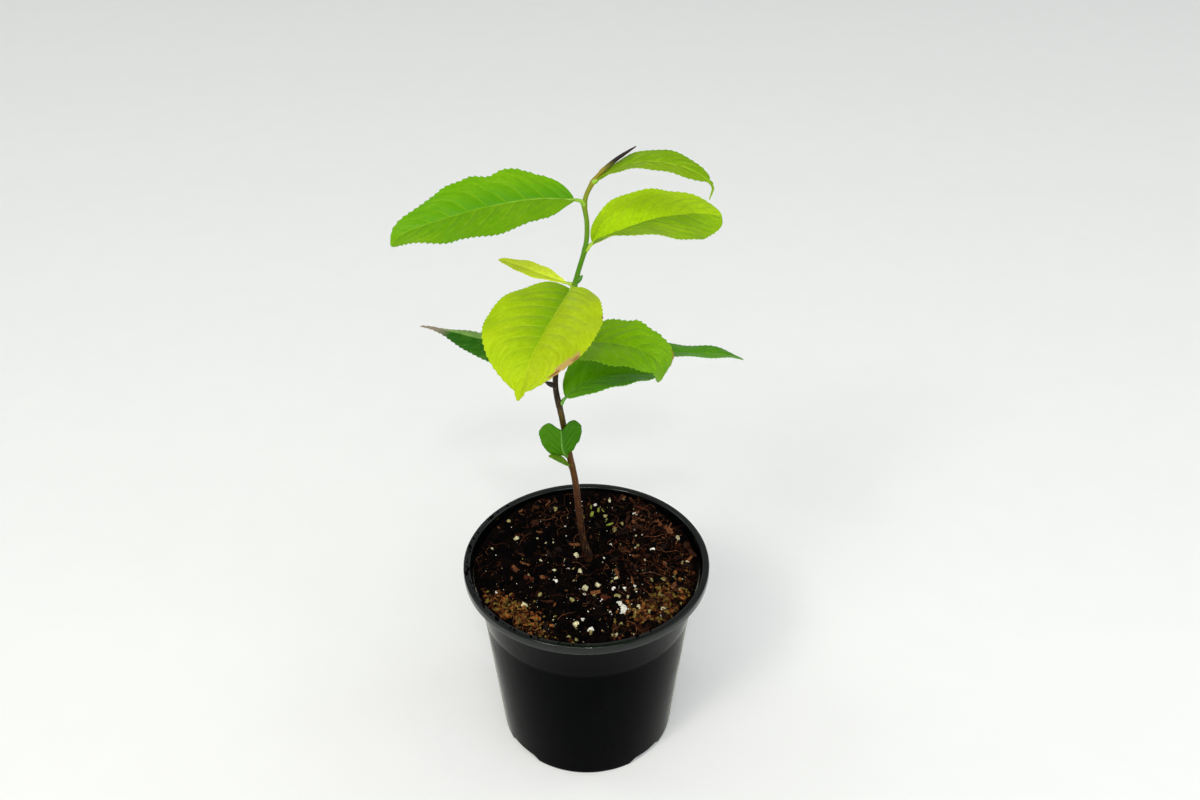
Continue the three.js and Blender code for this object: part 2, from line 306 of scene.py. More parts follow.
# Pot: moulded black nursery pot with a flared collar, a rolled lip and four drain notches

pot = {
    'baseRadius': 38.6, 'bodyTopRadius': 45.2, 'bodyTop': 68, 'stepOut': 0.5, 'stepTop': 70,
    'collarTopRadius': 49.8, 'lipBottom': 87.8, 'lipRadius': 52.5, 'height': 92,
    'lipInnerRadius': 49.5, 'wall': 1.2, 'floor': 1.5, 'sides': 192,
    'ringHeights': (3.4, 14, 28, 42, 56), 'underRadius': 34.6, 'floorRadius': 20,
}
drainNotch = {
    'count': 4, 'firstAngle': 43, 'baseWidth': 20, 'topWidth': 12, 'height': 2.8, 'depth': 5,
}


def potInnerRadius(z):
    body = pot['baseRadius'] + (pot['bodyTopRadius'] - pot['baseRadius']) * z / pot['bodyTop']
    if z <= pot['bodyTop']:
        return body - pot['wall']
    collar = (z - pot['bodyTop']) / (pot['lipBottom'] - pot['bodyTop'])
    foot = pot['bodyTopRadius'] + pot['stepOut'] / 2
    return foot + (pot['collarTopRadius'] - foot) * collar - pot['wall']


def roundCorners(corners, steps=4):
    # corners are (radius, height, rounding): each rounded one becomes a short arc
    outline = []
    for i, (x, z, rounding) in enumerate(corners):
        here = np.array([x, z])
        if rounding == 0:
            outline.append(here)
            continue
        fromDirection = unit(np.array(corners[i - 1][:2]) - here)
        toDirection = unit(np.array(corners[i + 1][:2]) - here)
        first = here + fromDirection * rounding
        last = here + toDirection * rounding
        for step in range(steps + 1):
            share = step / steps
            outline.append(first * (1 - share) ** 2 + 2 * here * share * (1 - share) + last * share ** 2)
    return outline


def potOutline():
    # from under the pot up its outside, over the lip and down its inside
    lean = (pot['bodyTopRadius'] - pot['baseRadius']) / pot['bodyTop']
    return roundCorners([
        (pot['underRadius'], 0, 0),
        (pot['baseRadius'], 0, 0.9),
        *[(pot['baseRadius'] + lean * height, height, 0) for height in pot['ringHeights']],
        (pot['bodyTopRadius'], pot['bodyTop'], 1.0),
        (pot['bodyTopRadius'] + pot['stepOut'], pot['stepTop'], 1.0),
        (pot['collarTopRadius'], pot['lipBottom'], 0.5),
        (pot['lipRadius'], pot['lipBottom'] + 0.2, 0.6),
        (pot['lipRadius'], pot['height'], 0.9),
        (pot['lipInnerRadius'] + 0.2, pot['height'], 0.8),
        (potInnerRadius(pot['lipBottom']), pot['lipBottom'], 0.8),
        (potInnerRadius(pot['stepTop']), pot['stepTop'], 0.5),
        (potInnerRadius(pot['bodyTop']), pot['bodyTop'], 0.5),
        (potInnerRadius(pot['ringHeights'][0]), pot['ringHeights'][0], 0),
        (potInnerRadius(pot['floor']), pot['floor'], 0.6),
        (pot['floorRadius'], pot['floor'], 0),
    ])


def makePot(materials):
    outline = potOutline()
    radius, height = outline[0]
    bpy.ops.mesh.primitive_circle_add(
        vertices=pot['sides'], radius=radius * mm, fill_type='NGON', location=(0, 0, height * mm))
    shell = bpy.context.object
    bpy.ops.object.mode_set(mode='EDIT')
    bpy.ops.mesh.select_all(action='SELECT')
    for nextRadius, nextHeight in outline[1:]:
        rise = (nextHeight - height) * mm
        bpy.ops.mesh.extrude_region_move(TRANSFORM_OT_translate={'value': (0, 0, rise)})
        grow = nextRadius / radius
        bpy.ops.transform.resize(value=(grow, grow, 1), center_override=(0, 0, nextHeight * mm))
        radius, height = nextRadius, nextHeight
    bpy.ops.mesh.select_all(action='SELECT')
    bpy.ops.mesh.normals_make_consistent(inside=False)
    bpy.ops.object.mode_set(mode='OBJECT')
    for i in range(drainNotch['count']):
        cutNotch(shell, math.radians(drainNotch['firstAngle'] + i * 360 / drainNotch['count']))
    pickOut(shell)
    bpy.ops.object.transform_apply(location=True, rotation=True, scale=True)
    shadeSmooth(shell, 32)
    dress(shell, 'nursery_pot', materials, ['pot'])
    lipFoot = (pot['lipBottom'] - 0.1) * mm
    for face in shell.data.polygons:
        face.material_index = 1 if face.center.z > lipFoot else 0


def cutNotch(shell, angle):
    # the cutter's sides run out softly at the foot and round off under the roof of the notch
    reach, height = pot['baseRadius'], drainNotch['height']
    bpy.ops.mesh.primitive_cube_add(size=1, location=(reach * mm, 0, 0), scale=(
        2 * drainNotch['depth'] * mm, drainNotch['baseWidth'] * mm, 2 * height * mm))
    wedge = bpy.context.object
    bpy.ops.object.transform_apply(location=True, rotation=True, scale=True)
    bpy.ops.object.mode_set(mode='EDIT')
    bpy.ops.mesh.subdivide(number_cuts=19)
    bpy.ops.object.mode_set(mode='OBJECT')
    points = readPoints(wedge)
    level = np.clip(points[:, 2] / (height * mm), 0, 1)
    inward = 0.5 - np.sin(np.arcsin(1 - 2 * level) / 3)
    points[:, 1] *= 1 - (1 - drainNotch['topWidth'] / drainNotch['baseWidth']) * inward
    turned = points.copy()
    turned[:, 0] = points[:, 0] * math.cos(angle) - points[:, 1] * math.sin(angle)
    turned[:, 1] = points[:, 0] * math.sin(angle) + points[:, 1] * math.cos(angle)
    writePoints(wedge, turned)
    applyModifier(shell, 'BOOLEAN', operation='DIFFERENCE', object=wedge, solver='EXACT')
    bpy.data.objects.remove(wedge)


def makePotMaterial(name, ior, shine, edgeSheen, roughness):
    # black polypropylene, injection moulded: glossy, with faint flow marks, rubbed patches and dust.
    # The wall's ior is far under the real 1.49, at which it would mirror the whole white floor.
    # shine tints what it mirrors head-on, so that its front stays black while its sides grow bright,
    # and a pale sheen brightens it where it is seen edge-on: a painted reflection of pale walls beside it
    material, tree, place = startMaterial(name)
    rubbed = addNode(tree, 'TexNoise', {'Vector': place, 'Scale': perMetre(14), 'Detail': 5.0})
    low, high = roughness
    gloss = addNode(tree, 'MapRange', {0: rubbed, 1: 0.35, 2: 0.7, 3: low, 4: high})
    stretched = addNode(tree, 'Mapping', {'Vector': place, 'Scale': (1, 1, 0.15)})
    flow = addNode(tree, 'TexNoise', {'Vector': stretched, 'Scale': perMetre(5), 'Detail': 3.0})
    grain = addNode(tree, 'TexNoise', {'Vector': place, 'Scale': perMetre(0.5), 'Detail': 2.0})
    relief = addNode(tree, 'Math', {0: grain, 1: 0.25, 2: flow}, operation='MULTIPLY_ADD')
    bump = addNode(tree, 'Bump', {'Height': relief, 'Strength': 0.08, 'Distance': 0.1 * mm})
    specks = addNode(tree, 'TexVoronoi', {'Vector': place, 'Scale': perMetre(2.6)})
    dust = addNode(tree, 'MapRange', {0: specks, 1: 0.03, 2: 0.09, 3: 1.0, 4: 0.0})
    inPatches = addNode(tree, 'MapRange', {0: rubbed, 1: 0.56, 2: 0.66, 3: 0.0, 4: 0.5})
    dusty = addNode(tree, 'Math', {0: dust, 1: inPatches}, operation='MULTIPLY')
    black = addNode(tree, 'Mix', {0: rubbed, 6: '#010102', 7: '#030404'}, data_type='RGBA')
    colour = addNode(tree, 'Mix', {0: dusty, 6: black, 7: '#5a4c3e'}, data_type='RGBA')
    endMaterial(tree, {
        'Base Color': colour, 'Roughness': gloss, 'IOR': ior, 'Normal': bump,
        'Specular IOR Level': 0.5, 'Specular Tint': shine,
        'Sheen Weight': edgeSheen, 'Sheen Roughness': 0.17, 'Sheen Tint': '#b0b2a2',
    })
    return material


# the wall's strong pale sheen is a painted reflection of pale walls at its sides
makePot([
    makePotMaterial('mouldedPolypropylene', ior=1.08, shine='#3c423e', edgeSheen=1.0, roughness=(0.15, 0.3)),
    makePotMaterial('mouldedPolypropyleneLip', ior=1.49, shine='#d0dad2', edgeSheen=0.05, roughness=(0.08, 0.2)),
])
print('pot modelled')


# Compost: a lumpy bed, with crumbs, bark chips, perlite and fibres lying on it

compost = {
    'edgeHeight': 87.2, 'crown': 0.9, 'heap': 3.6, 'dip': 1.6, 'dipRadius': 9,
    'lump': 0.45, 'lumpLength': 20, 'bottom': 1.8, 'gap': 0.3, 'around': 220, 'rings': 90,
    'mound': 0.9, 'clodSize': 7, 'clodHeight': 1.9, 'crumbSize': 1.6, 'crumbHeight': 1.3, 'strewnTo': 46.6,
}
stemFoot = np.array([1.3, 6.8])
# where some grains lie denser, and by how much: half sizes in mm, and the turn in degrees
patches = {
    'leftHeap': {'middle': (-29.5, -29.5), 'turn': -43, 'long': 11, 'wide': 4.6, 'weight': 1},
    'rightHeap': {'middle': (31, -24), 'turn': 45, 'long': 13, 'wide': 6.5, 'weight': 0.6},
    'backLeft': {'middle': (-12, 36), 'turn': 0, 'long': 14, 'wide': 9, 'weight': 0.6},
    'frontRight': {'middle': (12, -24), 'turn': 0, 'long': 24, 'wide': 18, 'weight': 0.7},
    'behindStem': {'middle': (5, 32), 'turn': 0, 'long': 5, 'wide': 5, 'weight': 1},
}


def patchAt(x, y, name):
    # most in the middle of a patch, and less outward
    patch = patches[name]
    turn = math.radians(patch['turn'])
    cosine, sine = math.cos(turn), math.sin(turn)
    x, y = x - patch['middle'][0], y - patch['middle'][1]
    lengthwise = (x * cosine + y * sine) / patch['long']
    crosswise = (y * cosine - x * sine) / patch['wide']
    return patch['weight'] * np.exp(-lengthwise ** 2 - crosswise ** 2)


def peatHeaps(x, y):
    return patchAt(x, y, 'leftHeap') + patchAt(x, y, 'rightHeap')


def compostHeight(x, y):
    edge = potInnerRadius(compost['edgeHeight'])
    fromMiddle = np.hypot(x, y) / edge
    fromStem = np.hypot(x - stemFoot[0], y - stemFoot[1]) / compost['dipRadius']
    crown = compost['crown'] * (1 - fromMiddle ** 2)
    heap = compost['heap'] * np.maximum(0, y / edge) ** 2
    dip = compost['dip'] * np.exp(-fromStem ** 2)
    fade = 1 - fromMiddle ** 4
    turn = 2 * np.pi / compost['lumpLength']
    lumps = np.sin(turn * x + 1) * np.cos(turn * y) + np.sin(2 * turn * (x - y)) / 2
    mound = compost['mound'] * peatHeaps(x, y)
    return compost['edgeHeight'] + crown + heap + mound - dip + fade * compost['lump'] * lumps


def roughen(piece, name, size, strength, depth=2, direction='Z'):
    clouds = bpy.data.textures.new(name, 'CLOUDS')
    clouds.noise_scale = size * mm
    clouds.noise_depth = depth
    applyModifier(
        piece, 'DISPLACE', texture=clouds, texture_coords='LOCAL', direction=direction,
        mid_level=0.5, strength=strength * mm)


def makeCompost(material):
    edge = potInnerRadius(compost['edgeHeight']) - compost['gap']
    bpy.ops.mesh.primitive_grid_add(
        x_subdivisions=compost['around'], y_subdivisions=compost['rings'], size=2)
    bed = bpy.context.object
    flat = readPoints(bed)
    angle = np.pi * flat[:, 0]
    radius = edge * (flat[:, 1] + 1) / 2
    x = radius * np.cos(angle)
    y = radius * np.sin(angle)
    writePoints(bed, np.stack([x, y, compostHeight(x, y)], 1) * mm)
    bpy.ops.object.mode_set(mode='EDIT')
    bpy.ops.mesh.select_all(action='SELECT')
    bpy.ops.mesh.remove_doubles(threshold=mergeDistance)
    bpy.ops.object.mode_set(mode='OBJECT')
    roughen(bed, 'clods', compost['clodSize'], compost['clodHeight'], 3)
    roughen(bed, 'crumbs', compost['crumbSize'], compost['crumbHeight'])
    bpy.ops.object.mode_set(mode='EDIT')
    bpy.ops.mesh.select_mode(type='EDGE')
    bpy.ops.mesh.select_all(action='DESELECT')
    bpy.ops.mesh.select_non_manifold()
    for height in (pot['stepTop'], compost['bottom']):
        bpy.ops.mesh.extrude_region_move()
        grow = (potInnerRadius(height) - compost['gap']) / edge
        bpy.ops.transform.resize(value=(grow, grow, 0), center_override=(0, 0, height * mm))
        edge = potInnerRadius(height) - compost['gap']
    bpy.ops.mesh.fill_holes(sides=0)
    bpy.ops.mesh.select_all(action='SELECT')
    bpy.ops.mesh.normals_make_consistent(inside=False)
    bpy.ops.object.mode_set(mode='OBJECT')
    shadeSmooth(bed, 60)
    dress(bed, 'compost_bed', [material], ['soil'])
    return bed


def makeBedMaterial():
    # damp peat compost, sieved: nearly black, matt, with brown crumbs in it
    material, tree, place = startMaterial('dampPeat')
    clouds = addNode(tree, 'TexNoise', {'Vector': place, 'Scale': perMetre(9), 'Detail': 4.0})
    crumbs = addNode(tree, 'TexVoronoi', {'Vector': place, 'Scale': perMetre(1.1)})
    fine = addNode(tree, 'TexNoise', {'Vector': place, 'Scale': perMetre(0.35), 'Detail': 3.0})
    drier = addNode(tree, 'MapRange', {0: clouds, 1: 0.4, 2: 0.62})
    black = addNode(tree, 'Mix', {0: drier, 6: '#030202', 7: '#0a0604'}, data_type='RGBA')
    brown = addNode(tree, 'MapRange', {0: crumbs.outputs['Color'], 1: 0.55, 2: 0.95, 3: 0.0, 4: 0.6})
    colour = addNode(tree, 'Mix', {0: brown, 6: black, 7: '#1c0f08'}, data_type='RGBA')
    height = addNode(tree, 'Math', {0: fine, 1: crumbs}, operation='SUBTRACT')
    bump = addNode(tree, 'Bump', {'Height': height, 'Strength': 0.9, 'Distance': 0.35 * mm})
    endMaterial(tree, {
        'Base Color': colour, 'Roughness': 0.95, 'Specular IOR Level': 0.03, 'Normal': bump})
    return material


compostBed = makeCompost(makeBedMaterial())
print('compost bed modelled')


# Grains: a few shapes are modelled, and each kind of grain is one mesh of many turned copies

def takeShape(shape):
    # the points and faces of a modelled shape, which is then removed
    points = readPoints(shape)
    faces = [tuple(face.vertices) for face in shape.data.polygons]
    bpy.data.objects.remove(shape)
    return points, faces


def lumpShape(cut, seed):
    bpy.ops.mesh.primitive_cube_add(size=1.5)
    lump = bpy.context.object
    bpy.ops.object.mode_set(mode='EDIT')
    bpy.ops.mesh.subdivide(number_cuts=1, smoothness=cut['roundness'])
    bpy.ops.transform.vertex_random(offset=cut['rough'], uniform=0.3, seed=seed)
    bpy.ops.transform.resize(value=(1, 0.8, 0.7))
    bpy.ops.object.mode_set(mode='OBJECT')
    return takeShape(lump)


def chipShape(length, width, depth, seed):
    # a torn flake of bark: a bent slab with uneven ends
    bpy.ops.mesh.primitive_cube_add(size=2, scale=(length, width, depth))
    chip = bpy.context.object
    bpy.ops.object.transform_apply(location=False, rotation=False, scale=True)
    bpy.ops.object.mode_set(mode='EDIT')
    bpy.ops.mesh.select_all(action='SELECT')
    bpy.ops.mesh.subdivide(number_cuts=1)
    bpy.ops.transform.vertex_random(offset=0.13, uniform=0.4, seed=seed)
    bpy.ops.object.mode_set(mode='OBJECT')
    points = readPoints(chip)
    points[:, 2] += 0.16 * (points[:, 0] ** 2 - 0.3)
    points[:, 1] *= 1 - 0.35 * np.abs(points[:, 0])
    writePoints(chip, points)
    return takeShape(chip)


def fibreShape(bend, twist):
    strand = Path([(-1, 0, 0), (-0.4, bend, 0.1), (0.3, -bend * 0.6, 0.22), (1, bend * twist, 0)], 12)
    tube = rollTube(strand, lambda along, angle: 0.02 * (1.2 - along), sides=4, steps=10, reference=up)
    points, faces = takeShape(tube)
    return points / mm, faces


def turnTable(count, random, tilt):
    # random turns about Z, each then tipped by up to tilt degrees
    spin = random.uniform(0, 2 * np.pi, count)
    tip = np.radians(random.uniform(-tilt, tilt, count))
    roll = np.radians(random.uniform(-tilt, tilt, count))

    def turned(angle, first, second):
        # a turn for each grain, from the first axis towards the second
        table = np.tile(np.eye(3), (count, 1, 1))
        table[:, first, first] = table[:, second, second] = np.cos(angle)
        table[:, first, second] = -np.sin(angle)
        table[:, second, first] = np.sin(angle)
        return table

    return turned(spin, 0, 1) @ turned(tip, 1, 2) @ turned(roll, 2, 0)


def scatter(name, shapes, places, sizes, turns, tones, random):
    # one mesh of all grains. Each grain takes one shape and one of the tones
    allPoints, allFaces, allTones = [], [], []
    base = 0
    for place, size, turn in zip(places, sizes, turns):
        points, faces = shapes[random.integers(len(shapes))]
        stretch = size * random.uniform(0.72, 1.3, 3)
        allPoints.append((points * stretch) @ turn.T + place)
        allFaces.extend(tuple(corner + base for corner in face) for face in faces)
        allTones.extend([random.integers(len(tones))] * len(faces))
        base += len(points)
    mesh = bpy.data.meshes.new(name)
    mesh.from_pydata((np.vstack(allPoints) * mm).tolist(), [], allFaces)
    piece = bpy.data.objects.new(name, mesh)
    bpy.context.collection.objects.link(piece)
    dress(piece, name, tones)
    mesh.polygons.foreach_set('material_index', np.array(allTones, np.int32))
    mesh.update()
    shadeSmooth(piece, 40)


surface = BVHTree.FromPolygons(
    [vertex.co[:] for vertex in compostBed.data.vertices],
    [face.vertices[:] for face in compostBed.data.polygons])


def restOn(x, y, lift):
    # the height in mm at which a grain lies on the bed, or else on the lip
    hit = surface.ray_cast(Vector((x * mm, y * mm, 0.2)), Vector((0, 0, -1)))[0]
    return (hit.z / mm if hit else pot['height']) + lift


def strew(count, random, weight):
    # places over the compost, kept more often where weight(x, y) is high
    reach = compost['strewnTo']
    found = []
    while len(found) < count:
        x, y = random.uniform(-reach, reach, 2)
        if math.hypot(x, y) < reach and random.random() < weight(x, y):
            found.append((x, y))
    return np.array(found)


def allOver(x, y):
    return 1.0


def barkSide(x, y):
    # most on the right, and some at the back left
    toRight = float(smoothStep(x + 0.2 * abs(y), 8, 34))
    return 0.17 + 0.83 * toRight + patchAt(x, y, 'backLeft')


def frontRight(x, y):
    return 0.3 + patchAt(x, y, 'frontRight')


def behindStem(x, y):
    return patchAt(x, y, 'behindStem')


def onLip(count, random):
    # crumbs that spilled on to the lip, most of them on its left
    turn = np.radians(random.normal(205, 38, count))
    radius = random.uniform(pot['lipInnerRadius'] + 0.6, pot['lipRadius'] - 1, count)
    return np.stack([radius * np.cos(turn), radius * np.sin(turn)], 1)


def roundStem(count, random):
    # crumbs firmed round the foot of the stem
    turn = random.uniform(0, 2 * np.pi, count)
    radius = random.uniform(1.7, 3.6, count)
    return stemFoot + np.stack([radius * np.cos(turn), radius * np.sin(turn)], 1)


# the shapes that the grains are copies of, each about 1 in half size
lumpCuts = {
    'crumb': {'rough': 0.25, 'roundness': 1.0, 'seeds': range(8)},
    'clod': {'rough': 0.16, 'roundness': 1.0, 'seeds': range(6)},
    'broken': {'rough': 0.4, 'roundness': 0.35, 'seeds': range(10, 20)},
    'torn': {'rough': 0.5, 'roundness': 0.3, 'seeds': range(20, 30)},
}
chipCuts = [(1, 0.36, 0.13), (1, 0.5, 0.16), (1, 0.24, 0.16), (1, 0.6, 0.12)]  # half length, width and depth
fibreBends = [(0.3, 1.0), (-0.45, 0.5), (0.15, -1.2)]  # how far it bends, and how much of that at its end
# small and large are half sizes in mm, and lift is how high a grain lies, as a share of its size.
# tilt is how far it may tip in degrees, and power is how much rarer the large ones are
grains = {
    'peat_crumbs': {
        'shape': 'crumb', 'tones': ['peat'], 'weight': allOver, 'count': 4100, 'small': 0.3, 'large': 1.2,
        'lift': 0.05, 'seed': 3},
    'peat_clods': {
        'shape': 'clod', 'tones': ['peat'], 'weight': allOver, 'count': 300, 'small': 1.2, 'large': 2.6,
        'lift': 0, 'sunk': 0.7, 'tilt': 60, 'power': 1.4, 'seed': 4},
    'rusty_crumbs': {
        'shape': 'torn', 'tones': ['rust'], 'weight': barkSide, 'count': 900, 'small': 0.2, 'large': 0.9,
        'lift': 0.3, 'seed': 13},
    'peat_heap': {
        'shape': 'torn', 'tones': ['heap'], 'weight': peatHeaps, 'count': 1900, 'small': 0.2, 'large': 0.95,
        'lift': 0.4, 'power': 1.6, 'seed': 5},
    'heap_fibres': {
        'shape': 'fibre', 'tones': ['heap'], 'weight': peatHeaps, 'count': 340, 'small': 0.7, 'large': 2.4,
        'lift': 0.4, 'tilt': 35, 'power': 1.4, 'seed': 14},
    'perlite_grains': {
        'shape': 'broken', 'tones': ['perlite'], 'weight': frontRight, 'count': 290, 'small': 0.22,
        'large': 1.5, 'lift': 0.3, 'power': 3.0, 'seed': 26},
    'bark_chips': {
        'shape': 'chip', 'tones': ['bark'], 'weight': barkSide, 'count': 480, 'small': 0.5, 'large': 2.6,
        'lift': 0.4, 'tilt': 30, 'power': 2.6, 'seed': 7},
    'peat_fibres': {
        'shape': 'fibre', 'tones': ['bark'], 'weight': barkSide, 'count': 520, 'small': 1.8, 'large': 5.5,
        'lift': 0.3, 'tilt': 24, 'power': 1.4, 'seed': 8},
    'pale_specks': {
        'shape': 'crumb', 'tones': ['perlite'], 'weight': frontRight, 'count': 420, 'small': 0.08,
        'large': 0.26, 'lift': 0.4, 'seed': 11},
    'green_flakes': {
        'shape': 'chip', 'tones': ['moss'], 'weight': behindStem, 'count': 8, 'small': 0.8, 'large': 1.7,
        'lift': 0.45, 'tilt': 25, 'power': 1.0, 'seed': 10},
    'rim_crumbs': {
        'shape': 'crumb', 'tones': ['peat'], 'spots': onLip, 'count': 46, 'small': 0.25, 'large': 0.8,
        'lift': 0.4, 'seed': 9},
    'foot_crumbs': {
        'shape': 'crumb', 'tones': ['peat', 'rust'], 'spots': roundStem, 'count': 90, 'small': 0.35,
        'large': 0.95, 'lift': 0.4, 'power': 1.2, 'seed': 15},
}
# each material's colour, and for some a second, darker one painted as shade in the hollows of its pits
grainTones = {
    'peat': {'blackPeatCrumb': ('#030202',), 'brownPeatCrumb': ('#090504',)},
    'rust': {'rustPeatCrumb': ('#2c170b',), 'redPeatCrumb': ('#3a1a0e',)},
    'heap': {
        'orangePeat': ('#8a5428',), 'olivePeat': ('#75622c',), 'brownPeat': ('#5a3117',),
        'darkPeat': ('#2c170c',)},
    'perlite': {
        'whitePerlite': ('#f7f4ec', '#c9c2a8'), 'creamPerlite': ('#e6dfb8', '#b3a878'),
        'dustyPerlite': ('#a8a068', '#6e6234')},
    'bark': {
        'redBarkChip': ('#52230f', '#200d07'), 'brownBarkChip': ('#40200f', '#190c06'),
        'darkBarkChip': ('#1b0e07', '#080403'), 'paleBarkChip': ('#80502f', '#3c2012')},
    'moss': {'mossyFlake': ('#7c8434',)},
}
earthy = {'roughness': 0.95, 'pit': 0.4, 'relief': 0.8, 'shine': 0.03}
grainFinish = {
    'peat': earthy,
    'rust': earthy,
    'heap': earthy,
    'perlite': {'roughness': 0.9, 'pit': 0.6, 'relief': 0.6, 'shine': 0.1},
    'bark': {'roughness': 0.85, 'pit': 0.5, 'relief': 0.9, 'shine': 0.1},
    'moss': {'roughness': 0.8, 'pit': 0.5, 'relief': 0.6, 'shine': 0.1},
}


def makeGrainMaterial(name, finish, colour, hollowShade=None):
    # dry peat, bark and expanded perlite, broken and sieved: matt and finely pitted, in one plain tone,
    # with a second, darker one painted as shade in the hollows of the larger grains
    material, tree, place = startMaterial(name)
    pits = addNode(tree, 'TexNoise', {'Vector': place, 'Scale': perMetre(finish['pit']), 'Detail': 4.0})
    bump = addNode(tree, 'Bump', {'Height': pits, 'Strength': finish['relief'], 'Distance': 0.2 * mm})
    if hollowShade:
        # the low places of the pits take the darker tone: painted shade
        share = addNode(tree, 'MapRange', {0: pits, 1: 0.38, 2: 0.6})
        colour = addNode(tree, 'Mix', {0: share, 6: hollowShade, 7: colour}, data_type='RGBA')
    endMaterial(tree, {
        'Base Color': colour, 'Roughness': finish['roughness'], 'Specular IOR Level': finish['shine'],
        'Normal': bump})
    return material


def layGrains(name, kind, shapes, tones):
    random = np.random.default_rng(kind['seed'])
    if 'spots' in kind:
        flat = kind['spots'](kind['count'], random)
    else:
        flat = strew(kind['count'], random, kind['weight'])
    shares = random.random(kind['count']) ** kind.get('power', 2.4)  # many small ones and few large ones
    sizes = kind['small'] + (kind['large'] - kind['small']) * shares
    lifts = kind['lift'] * sizes - kind.get('sunk', 0)
    places = np.array([(x, y, restOn(x, y, lift)) for (x, y), lift in zip(flat, lifts)])
    turns = turnTable(kind['count'], random, kind.get('tilt', 180))
    scatter(name, shapes, places, sizes, turns, tones, random)


grainShapes = {kind: [lumpShape(cut, seed) for seed in cut['seeds']] for kind, cut in lumpCuts.items()}
grainShapes['chip'] = [chipShape(*cut, seed) for seed, cut in enumerate(chipCuts, 1)]
grainShapes['fibre'] = [fibreShape(*bend) for bend in fibreBends]
grainMaterials = {
    kind: [makeGrainMaterial(name, grainFinish[kind], *colours) for name, colours in materials.items()]
    for kind, materials in grainTones.items()}
for grainName, kind in grains.items():
    ownTones = [material for tone in kind['tones'] for material in grainMaterials[tone]]
    layGrains(grainName, kind, grainShapes[kind['shape']], ownTones)
print('compost grains laid')


# Stem: slender and leaning, red-brown below and green above, with a swelling at every leaf

stemPoints = [
    (1.3, 6.8, 84), (1.3, 6.8, 86.4), (-1.6, 6.9, 98), (-3.1, 6.4, 113), (-4.4, 5.7, 129), (-6.9, 5.5, 145),
    (-9.4, 6.2, 161), (-11.8, 7.6, 176), (-10, 8.3, 191), (-6.6, 7.9, 208), (-2.9, 6.8, 224),
    (0.5, 6.2, 237), (1.1, 6.4, 246), (0.3, 7, 254), (2.6, 7.3, 260.5), (6.6, 7.2, 266), (7.4, 7.2, 266.9),
]
stemPath = Path(stemPoints)
stem = {
    'footRadius': 1.65, 'tipRadius': 0.85, 'taperPower': 1.6, 'foot': 0.1,
    'sides': 36, 'steps': 620, 'ridge': 0.035, 'node': 0.32, 'nodeLength': 1.7,
    'footFade': 45, 'ring': 0.07, 'ringBelow': 1.3, 'ringLength': 0.25, 'grainSize': 0.9, 'grainHeight': 0.11,
}
# where the leaves leave the stem: height in mm, and the angle round it in degrees
leafJoints = [
    (137.6, 205), (143, 250), (167, 30), (187.5, 155), (189.5, 20), (194.5, -20),
    (219.5, -95), (220.5, 150), (235.5, 15), (253, 190), (261.8, -15),
]
sideBuds = {
    'dry_stub': {'height': 175.4, 'angle': 200, 'rise': 30, 'length': 4.4, 'radius': 1.4},
    'side_bud': {'height': 221.8, 'angle': -5, 'rise': 44, 'length': 3.4, 'radius': 1.4},
}


def stemRadius(along):
    thin = stem['tipRadius'] + (stem['footRadius'] - stem['tipRadius']) * (1 - along) ** stem['taperPower']
    return thin + stem['foot'] * np.exp(-along * stem['footFade'])


def stemPlace(height):
    return float(np.interp(height, stemPath.trail[:, 2], stemPath.reach))


def stemSurface(along, angle):
    # a swelling with a fine ring below it at each leaf, and lengthwise ridges that fade out above
    radius = stemRadius(along)
    length = stemPath.length
    for height, turn in leafJoints:
        middle = stemPlace(height)
        ring = middle - stem['ringBelow'] / length
        facing = 0.55 + 0.45 * np.cos(angle - math.radians(turn))
        radius = radius + stem['node'] * facing * bell(along, middle, stem['nodeLength'] / length)
        radius = radius - stem['ring'] * bell(along, ring, stem['ringLength'] / length)
    random = np.random.default_rng(12)
    young = 1 - 0.75 * smoothStep(along, 0.5, 0.7)
    for waves in range(2, 12):
        drift = 2.5 * np.sin(along * random.uniform(8, 30) + random.uniform(0, 6))
        radius = radius + stem['ridge'] / waves ** 0.5 * young * np.cos(waves * angle + drift)
    return radius


def makeStem(material):
    shaft = rollTube(stemPath, stemSurface, stem['sides'], stem['steps'], back)
    roughen(shaft, 'barkGrain', stem['grainSize'], stem['grainHeight'], 3, 'NORMAL')
    shadeSmooth(shaft)
    dress(shaft, 'stem_bark', [material], ['stem'])


def makeSideBud(name, material):
    # overlapping scales round a small cone that leans out of the stem
    bud = sideBuds[name]
    place = np.array([stemPlace(bud['height'])])
    turn, rise = math.radians(bud['angle']), math.radians(bud['rise'])
    outward = np.array([math.cos(rise) * math.cos(turn), math.cos(rise) * math.sin(turn), math.sin(rise)])
    foot = stemPath.at(place)[0] + outward * stemRadius(place)[0] * 0.6
    tip = foot + outward * bud['length'] + up * 0.5
    spine = Path([foot, foot + outward * bud['length'] * 0.5 + up * 0.1, tip])

    def scales(share, angle):
        body = np.sqrt(np.clip(1 - share, 0, 1)) * (0.75 + 0.9 * share * (1 - share))
        overlap = 0.1 * ((share * 3 + angle / (2 * np.pi)) % 1)
        return np.maximum(0.04, bud['radius'] * body * (1 - overlap))

    piece = rollTube(spine, scales, sides=20, steps=26, reference=up)
    shadeSmooth(piece, 60)
    dress(piece, name, [material])


# the bark's tone from 0 at the compost to 1 at the tip of the stem
barkTones = [
    (0.0, '#1a110b'),    # earthy foot
    (0.11, '#28120a'),
    (0.2, '#402210'),    # red-brown
    (0.31, '#4e3008'),
    (0.42, '#42380a'),   # olive
    (0.485, '#160c06'),  # the joint under the front leaf has died back
    (0.53, '#241309'),
    (0.58, '#5d4a1c'),
    (0.66, '#4c7a12'),   # green
    (0.83, '#4e8610'),
    (0.92, '#6c8c1a'),
    (1.0, '#9a7a24'),    # bronze tip
]


